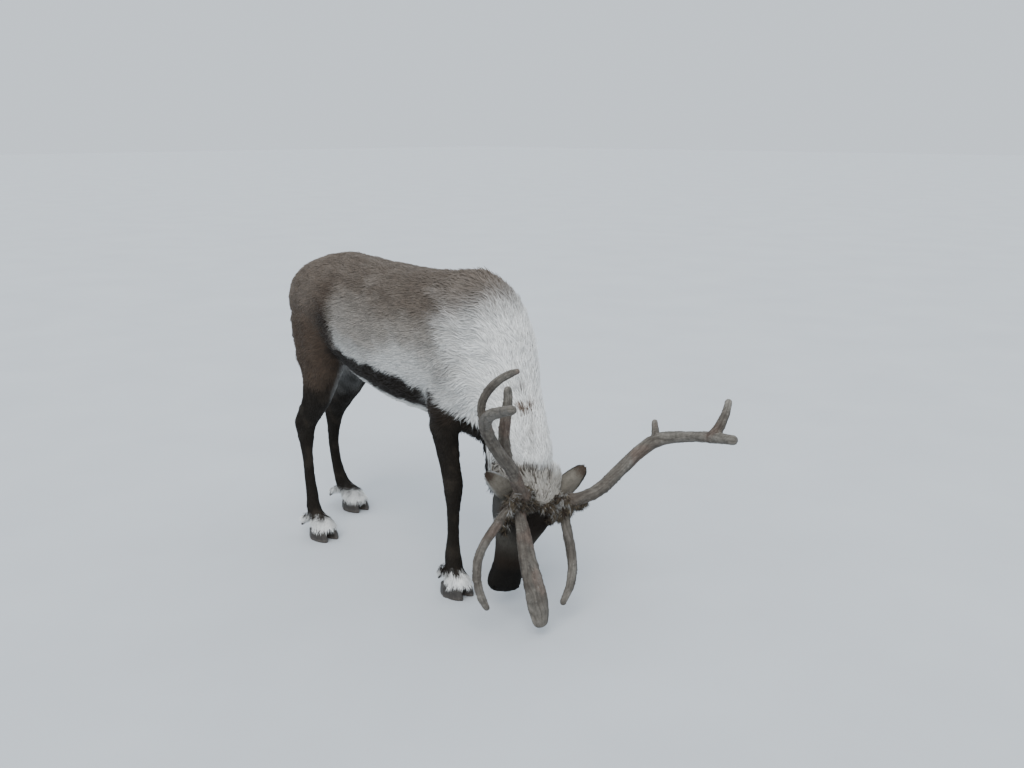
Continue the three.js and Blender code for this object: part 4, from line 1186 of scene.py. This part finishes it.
def ear_unwrap(points):
    uv = np.zeros((len(points), 2))
    on_left = to_head(points)[:, 1] > 0
    for k, side in enumerate(("right", "left")):
        start, axis, facing, across = ear_axes(side)
        chosen = on_left == (k == 1)
        rel = points[chosen] - start
        front = (rel @ facing > -12).astype(float)
        uv[chosen, 0] = 0.5 * k + 0.48 * ramp_line(rel @ axis, -20, 130)
        uv[chosen, 1] = 0.5 * front + 0.48 * ramp_line(rel @ across, -36, 36)
    return uv


MANE_SPREAD = 1.15
MANE_TUFTS = 2600
MANE_RINGS = 4
MANE_SINK = 13


def make_mane(material):
    """Long hair that hangs from the throat and brisket in overlapping locks."""
    count = MANE_TUFTS
    t = random.uniform(0.36, 0.86, count)
    angle = -math.pi / 2 + np.clip(random.normal(0, 0.5, count), -1, 1) * MANE_SPREAD
    middle, along, left, up, radii = neck_frame(t)
    _, throat, half = radii.T - MANE_SINK
    root = middle + left * (half * np.cos(angle))[:, None] + up * (throat * np.sin(angle))[:, None]
    normal = unit(root - middle)
    direction = laid(unit(along + [-0.35, 0, -0.7]), normal)
    clump = wobble(root, 40, 31)
    away = np.abs(angle + math.pi / 2) / MANE_SPREAD
    across = np.cross(normal, direction)
    direction = unit(direction + across * (0.2 * clump + random.normal(0, 0.1, count))[:, None])
    length = (88 - 34 * away) * random.uniform(0.7, 1.1, count) * (0.65 + 0.35 * ramp(t, 0.36, 0.55))
    tufts = {
        "root": root, "direction": direction, "normal": normal, "length": length,
        "width": random.uniform(4.5, 8, count), "lift": (0.36 + 0.1 * clump) * (1 - 0.3 * away),
        "bend": random.normal(0, 0.12, count), "tone": random.uniform(0.82, 1.15, count),
        "color": markings(root, normal), "uv": unwrap_of(root, "neck"),
    }
    build_coat("coat_mane", tufts, MANE_RINGS, material)


def drawn_round(count):
    """Where each tuft stands along its group of hair, and which way out of it."""
    return random.random(count)[:, None], unit(random.normal(size=(count, 3)))


def loose_tufts(root, normal, fall, stray, length, width, lift, bend, tone):
    """Tufts that fall one way and stray from it a little, each size drawn from its range."""
    count = len(root)
    fall = unit(fall + random.normal(0, stray, (count, 3)))
    return {
        "root": root, "normal": normal, "direction": laid(fall, normal),
        "length": random.uniform(*length, count), "width": random.uniform(*width, count),
        "lift": random.uniform(*lift, count), "bend": random.normal(0, bend, count),
        "tone": random.uniform(*tone, count),
    }


# Matted hair: the two ends of each clump on the head's frame, its radii there and its share of tufts
CLUMPS = {
    "right": [
        ([24, -92, 22], [30, -64, 0], 24, 26, 1300), ([54, -108, -12], [128, -114, -2], 15, 11, 1300),
        ([50, -96, 28], [70, -62, 6], 16, 16, 800), ([56, -58, 4], [60, -24, 4], 15, 14, 600),
        ([30, -124, 36], [116, -154, 32], 18, 11, 1200), ([72, -122, 22], [142, -126, 24], 13, 7, 700),
    ],
    "left": [
        ([28, 88, 26], [34, 62, 4], 24, 26, 1300), ([50, 84, 24], [82, 76, 12], 20, 15, 1100),
        ([56, 48, 6], [60, 8, 4], 18, 14, 900), ([28, 104, 40], [12, 122, 46], 18, 12, 600),
        ([66, 58, 8], [96, 46, 0], 16, 11, 700),
    ],
}
CLUMP_TUFTS = 1.45
CLUMP_LOOK = {"stray": 0.12, "length": (14, 32), "width": (1.9, 3.9), "lift": (-0.04, 0.12),
              "bend": 0.22, "tone": (0.65, 1.3)}


def make_clumps(material):
    """Matted hair and torn velvet round the antlers' burrs."""
    for side, clumps in CLUMPS.items():
        roots, normals = [], []
        for start, end, first, last, share in clumps:
            t, away = drawn_round(round(share * CLUMP_TUFTS))
            middle = on_head(start) + (on_head(end) - on_head(start)) * t
            lumps = 1 + 0.3 * wobble(middle + 20 * away, 17, 60)[:, None]
            roots.append(middle + away * (first + (last - first) * t) * 0.8 * lumps)
            normals.append(away)
        root, normal = np.concatenate(roots), np.concatenate(normals)
        lean = np.stack([wobble(root, 26, seed) for seed in (62, 63, 64)], axis=1)
        tufts = loose_tufts(root, normal, np.array([0, 0, -1.1]) + 0.9 * lean, **CLUMP_LOOK)
        tone = wobble(root, 24, 61)
        tufts["color"] = layered(CLUMP_BROWN, [
            (PALE_GREY * 0.42, 0.8 * ramp(tone, 0.3, 0.9)),
            (DARK_BROWN * 0.6, ramp(tone, -0.1, -0.6)),
        ])
        tufts["uv"] = unwrap_of(root, "head")
        build_coat(f"coat_clumps_{side}", tufts, COAT_RINGS, material)


FETLOCK_TUFTS = 420
FETLOCK_LOOK = {"stray": 0.08, "length": (12, 24), "width": (1.5, 2.6), "lift": (0, 0.08),
                "bend": 0.08, "tone": (0.8, 1.15)}


def make_fetlock_hair(material):
    """Longer hair that joins each dew claw to the back of its pastern."""
    names = sorted(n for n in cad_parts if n.startswith("dewclaw_"))
    roots, normals = [], []
    for name in names:
        leg = name.replace("dewclaw_", "").rsplit("_", 1)[0]
        claw = design(node_arrays(name)[0])
        top = claw[np.argsort(claw[:, 2])[-6:]].mean(axis=0)
        shank = design(node_arrays(leg)[0])
        near = shank[np.abs(shank[:, 2] - top[2] - 26) < 22]
        pastern = near.mean(axis=0) + [0, 0.5 * (top[1] - near[:, 1].mean()), 0]
        t, away = drawn_round(FETLOCK_TUFTS)
        roots.append(top + (pastern - top) * t * 0.8 + away * (9 + 7 * t))
        normals.append(away)
    root, normal = np.concatenate(roots), np.concatenate(normals)
    tufts = loose_tufts(root, normal, np.array([-0.2, 0, -1]), **FETLOCK_LOOK)
    tufts["color"] = markings(root, normal)
    tufts["uv"] = unwrap_of(root, "fetlocks")
    build_coat("coat_fetlocks", tufts, COAT_RINGS, material)


# Eyes: a ball with a dome in front, a dark iris and a long level pupil
EYE_RINGS, EYE_POINTS = 40, 56
EYE_EDGE = np.array([0.05, 0.035, 0.03])
IRIS = np.array([0.035, 0.018, 0.008])
PUPIL = np.array([0.002, 0.002, 0.003])
# The reach from the middle of the iris given to points on the ball's back half
BEHIND = 9


def make_eye(name, side, material):
    _, _, _, axes = eye_local(np.zeros((1, 3)), side)
    outward = axes[2]
    polar = np.repeat([math.pi * i / EYE_RINGS for i in range(EYE_RINGS + 1)], EYE_POINTS)
    turn = np.tile(circle(EYE_POINTS), EYE_RINGS + 1)
    u, v, w = np.sin(polar) * np.cos(turn), np.sin(polar) * np.sin(turn), np.cos(polar)
    reach = np.where(w > 0, np.hypot(u, v), BEHIND)
    pupil = np.where(w > 0, np.hypot(u / 0.5, v / 0.26), BEHIND)
    dome = 1.1 * np.exp(-(reach / 0.55) ** 4)
    ball = (EYE_RADIUS - 0.25) * np.stack([u, v, w], axis=1) @ np.array(axes)
    points = place(eye_middle(side) - outward * EYE_SINK + ball + np.outer(dome, outward))
    colors = layered(EYE_EDGE, [(IRIS, ramp(reach, 0.78, 0.68)), (PUPIL, ramp(pupil, 1.08, 0.9))])
    piece = new_object(f"{name}_ball", points, tube_faces(EYE_RINGS + 1, EYE_POINTS))
    cleaned(piece.data, merge=1e-6)
    paint(piece.data, colors[nearest(points, points_of(piece.data))])
    finish_piece(piece, [name], material)


# Antlers: paths on the head's frame, as in the solids
ANTLER_PATHS = {
    "right": [
        [[40, -56, -18], [26, -88, 22], [4, -122, 40], [-55, -176, 50], [-96, -236, 62],
         [-141, -290, 69], [-186, -332, 84], [-222, -357, 132], [-254, -373, 210], [-278, -386, 280]],
        [[20, -96, 18], [70, -92, 22], [122, -90, 67], [200, -75, 112], [268, -48, 140],
         [330, -22, 156], [368, -8, 166]],
        [[6, -118, 36], [60, -134, 34], [128, -168, 38], [186, -200, 46], [242, -215, 62],
         [296, -206, 76], [340, -182, 84], [368, -158, 90]],
        [[-50, -174, 50], [-98, -206, 42], [-157, -231, 42], [-218, -245, 45], [-262, -250, 42],
         [-290, -258, 39]],
        [[-182, -330, 80], [-236, -358, 80], [-286, -360, 96], [-328, -348, 122],
         [-353, -338, 149], [-368, -331, 172]],
    ],
    "left": [
        [[40, 56, -18], [28, 84, 24], [4, 112, 52], [-36, 150, 74], [-106, 205, 76],
         [-179, 250, 91], [-228, 280, 119], [-276, 310, 225], [-298, 323, 300], [-317, 326, 390]],
        [[26, 92, 22], [70, 86, 20], [118, 98, 37], [176, 119, 57], [232, 127, 82],
         [280, 118, 102], [328, 98, 116]],
        [[-226, 280, 116], [-250, 283, 98], [-278, 285, 80]],
        [[-298, 323, 300], [-340, 328, 318], [-384, 334, 320], [-416, 338, 313]],
    ],
}
# How pale each path is worn: the beam first, then the tines in the same order
ANTLER_WEAR = {"right": [0.45, 0.5, 0.6, 0.55, 0.45], "left": [0.6, 0.6, 0.8, 0.8]}
ANTLER_VOXEL = 2.55
GRAIN_STRETCH = 90
BURR = {"right": [24, -92, 25], "left": [26, 88, 28]}
ANTLER_BROWN = np.array([0.070, 0.060, 0.050])
ANTLER_PALE = np.array([0.215, 0.203, 0.18])
ANTLER_RED = np.array([0.13, 0.065, 0.045])


def make_antler(side, material):
    nodes = sorted(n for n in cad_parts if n.startswith(f"antler_{side}_"))
    points, faces = merged([node_arrays(n) for n in nodes])
    source = new_object("antler_source", points, faces)
    set_points(source.data, points + normals_of(source.data) * 0.9 * MM)
    mesh = remeshed(source, ANTLER_VOXEL * MM)
    points = smoothed(design(points_of(mesh)), edges_of(mesh), 7)
    set_points(mesh, points)
    normals = normals_of(mesh)
    steps = np.linspace(0, 1, 60)
    curves = [curve_through(path) for path in ANTLER_PATHS[side]]
    samples = np.concatenate([on_head(curve(steps)) for curve in curves])
    tangents = np.concatenate([curve(steps + 0.01) - curve(steps - 0.01) for curve in curves])
    near = nearest(samples, points)
    tangent = unit(tangents @ HEAD_AXES)[near]
    t = np.tile(steps, len(curves))[near]
    paleness = np.repeat(ANTLER_WEAR[side], len(steps))[near]
    rel = points - samples[near]
    first = unit(np.cross(tangent, FACE_OUT))
    second = np.cross(tangent, first)
    angle = np.arctan2(np.sum(rel * second, axis=1), np.sum(rel * first, axis=1))
    grooves = (1 - np.abs(np.sin(angle * 2.5 + 1.1 * wobble(points, 150, 41)))) ** 3
    grooves += 0.7 * (1 - np.abs(np.sin(angle * 4.5 + 1.4 * wobble(points, 110, 42)))) ** 3
    pearls = np.maximum(wobble(points, 11, 44), 0) ** 2
    rough = 1 - 0.55 * t
    rise = (0.6 - 0.95 * grooves) * rough + 1.1 * pearls * rough + 0.8 * wobble(points, 40, 43)
    burr = np.linalg.norm(points - on_head(BURR[side]), axis=1)
    knobs = 4.2 * spot(np.maximum(burr - 17, 0), 9) * (0.8 + 0.5 * wobble(points, 12, 45))
    points = points + normals * (rise + knobs)[:, None]
    tone = wobble(points, 95, 46)
    worn = ramp(t + 0.3 * tone, 0.3, 0.95) * 0.6 + 0.22 * ramp(grooves, 0.35, 0.05) + 0.25 * pearls
    worn = worn * paleness
    red = ramp(wobble(points * [1, 1, 0.6], 130, 47), 0.35, 0.95)
    color = layered(ANTLER_BROWN, [
        (ANTLER_PALE, worn),
        (ANTLER_RED, 0.24 * red * ramp(worn, 0.7, 0.3)),
        (ANTLER_BROWN * 0.55, 0.38 * ramp(grooves, 0.3, 1.0)),
        (DARK_BROWN * 1.3, 0.8 * spot(burr, 34)),
    ])
    piece = new_object(f"antler_{side}", place(points), faces_of(mesh))
    bpy.data.meshes.remove(mesh)
    paint(piece.data, color * (1 + 0.12 * wobble(points, 22, 48))[:, None])
    radius = np.linalg.norm(rel, axis=1)
    grain = np.stack([np.cos(angle) * radius, np.sin(angle) * radius, t * GRAIN_STRETCH], axis=1) * MM
    layer = piece.data.attributes.new("grain", "FLOAT_VECTOR", "POINT")
    layer.data.foreach_set("vector", grain.astype(np.float32).ravel())
    finish_piece(piece, nodes, material)


# Hooves and dew claws: rounded horn with growth rings
HORN = np.array([0.030, 0.026, 0.023])
CLAW_VOXELS = {"hoof": 2.4, "dewclaw": 1.8}
# Points of a hoof this near its lowest one are set level with it
SOLE = 1.6


def make_feet(leg, material):
    nodes = sorted(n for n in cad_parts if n.startswith(("hoof_", "dewclaw_")) and leg in n)
    parts = []
    for name in nodes:
        kind = name.split("_")[0]
        points, faces = node_arrays(name)
        low = points[:, 2].min()
        mesh = remeshed(new_object("claw_source", points, faces), CLAW_VOXELS[kind] * MM)
        points = smoothed(points_of(mesh), edges_of(mesh), 5)
        set_points(mesh, points)
        own = design(points)
        rings = 0.5 * np.sin(own[:, 2] * 1.1 + 1.5 * wobble(own, 60, 51)) + 0.4 * wobble(own, 20, 52)
        points = points + normals_of(mesh) * (rings * MM)[:, None]
        points[:, 2] = np.maximum(points[:, 2], low)
        if kind == "hoof":
            points[points[:, 2] < low + SOLE * MM, 2] = low
        parts.append((points, faces_of(mesh)))
        bpy.data.meshes.remove(mesh)
    points, faces = merged(parts)
    piece = new_object(f"hooves_{leg}", points, faces)
    own = design(points)
    wear = ramp(own[:, 2] + 3 * wobble(own, 14, 53), 16, 3)
    paint(piece.data, over(HORN, HORN * 2.6, 0.7 * wear))
    finish_piece(piece, nodes, material)


make_stage()
skin, body_count = make_skin()
coat = make_coat(skin, body_count)
make_mane(coat)
make_clumps(coat)
make_fetlock_hair(coat)
eye_look = eye_material()
for eye_side, sign in SIDES.items():
    make_eye(f"eye_{eye_side}", sign, eye_look)
antler_look = antler_material()
for antler_side in SIDES:
    make_antler(antler_side, antler_look)
horn_look = horn_material()
for leg_name in LEGS:
    make_feet(leg_name, horn_look)

write_size()
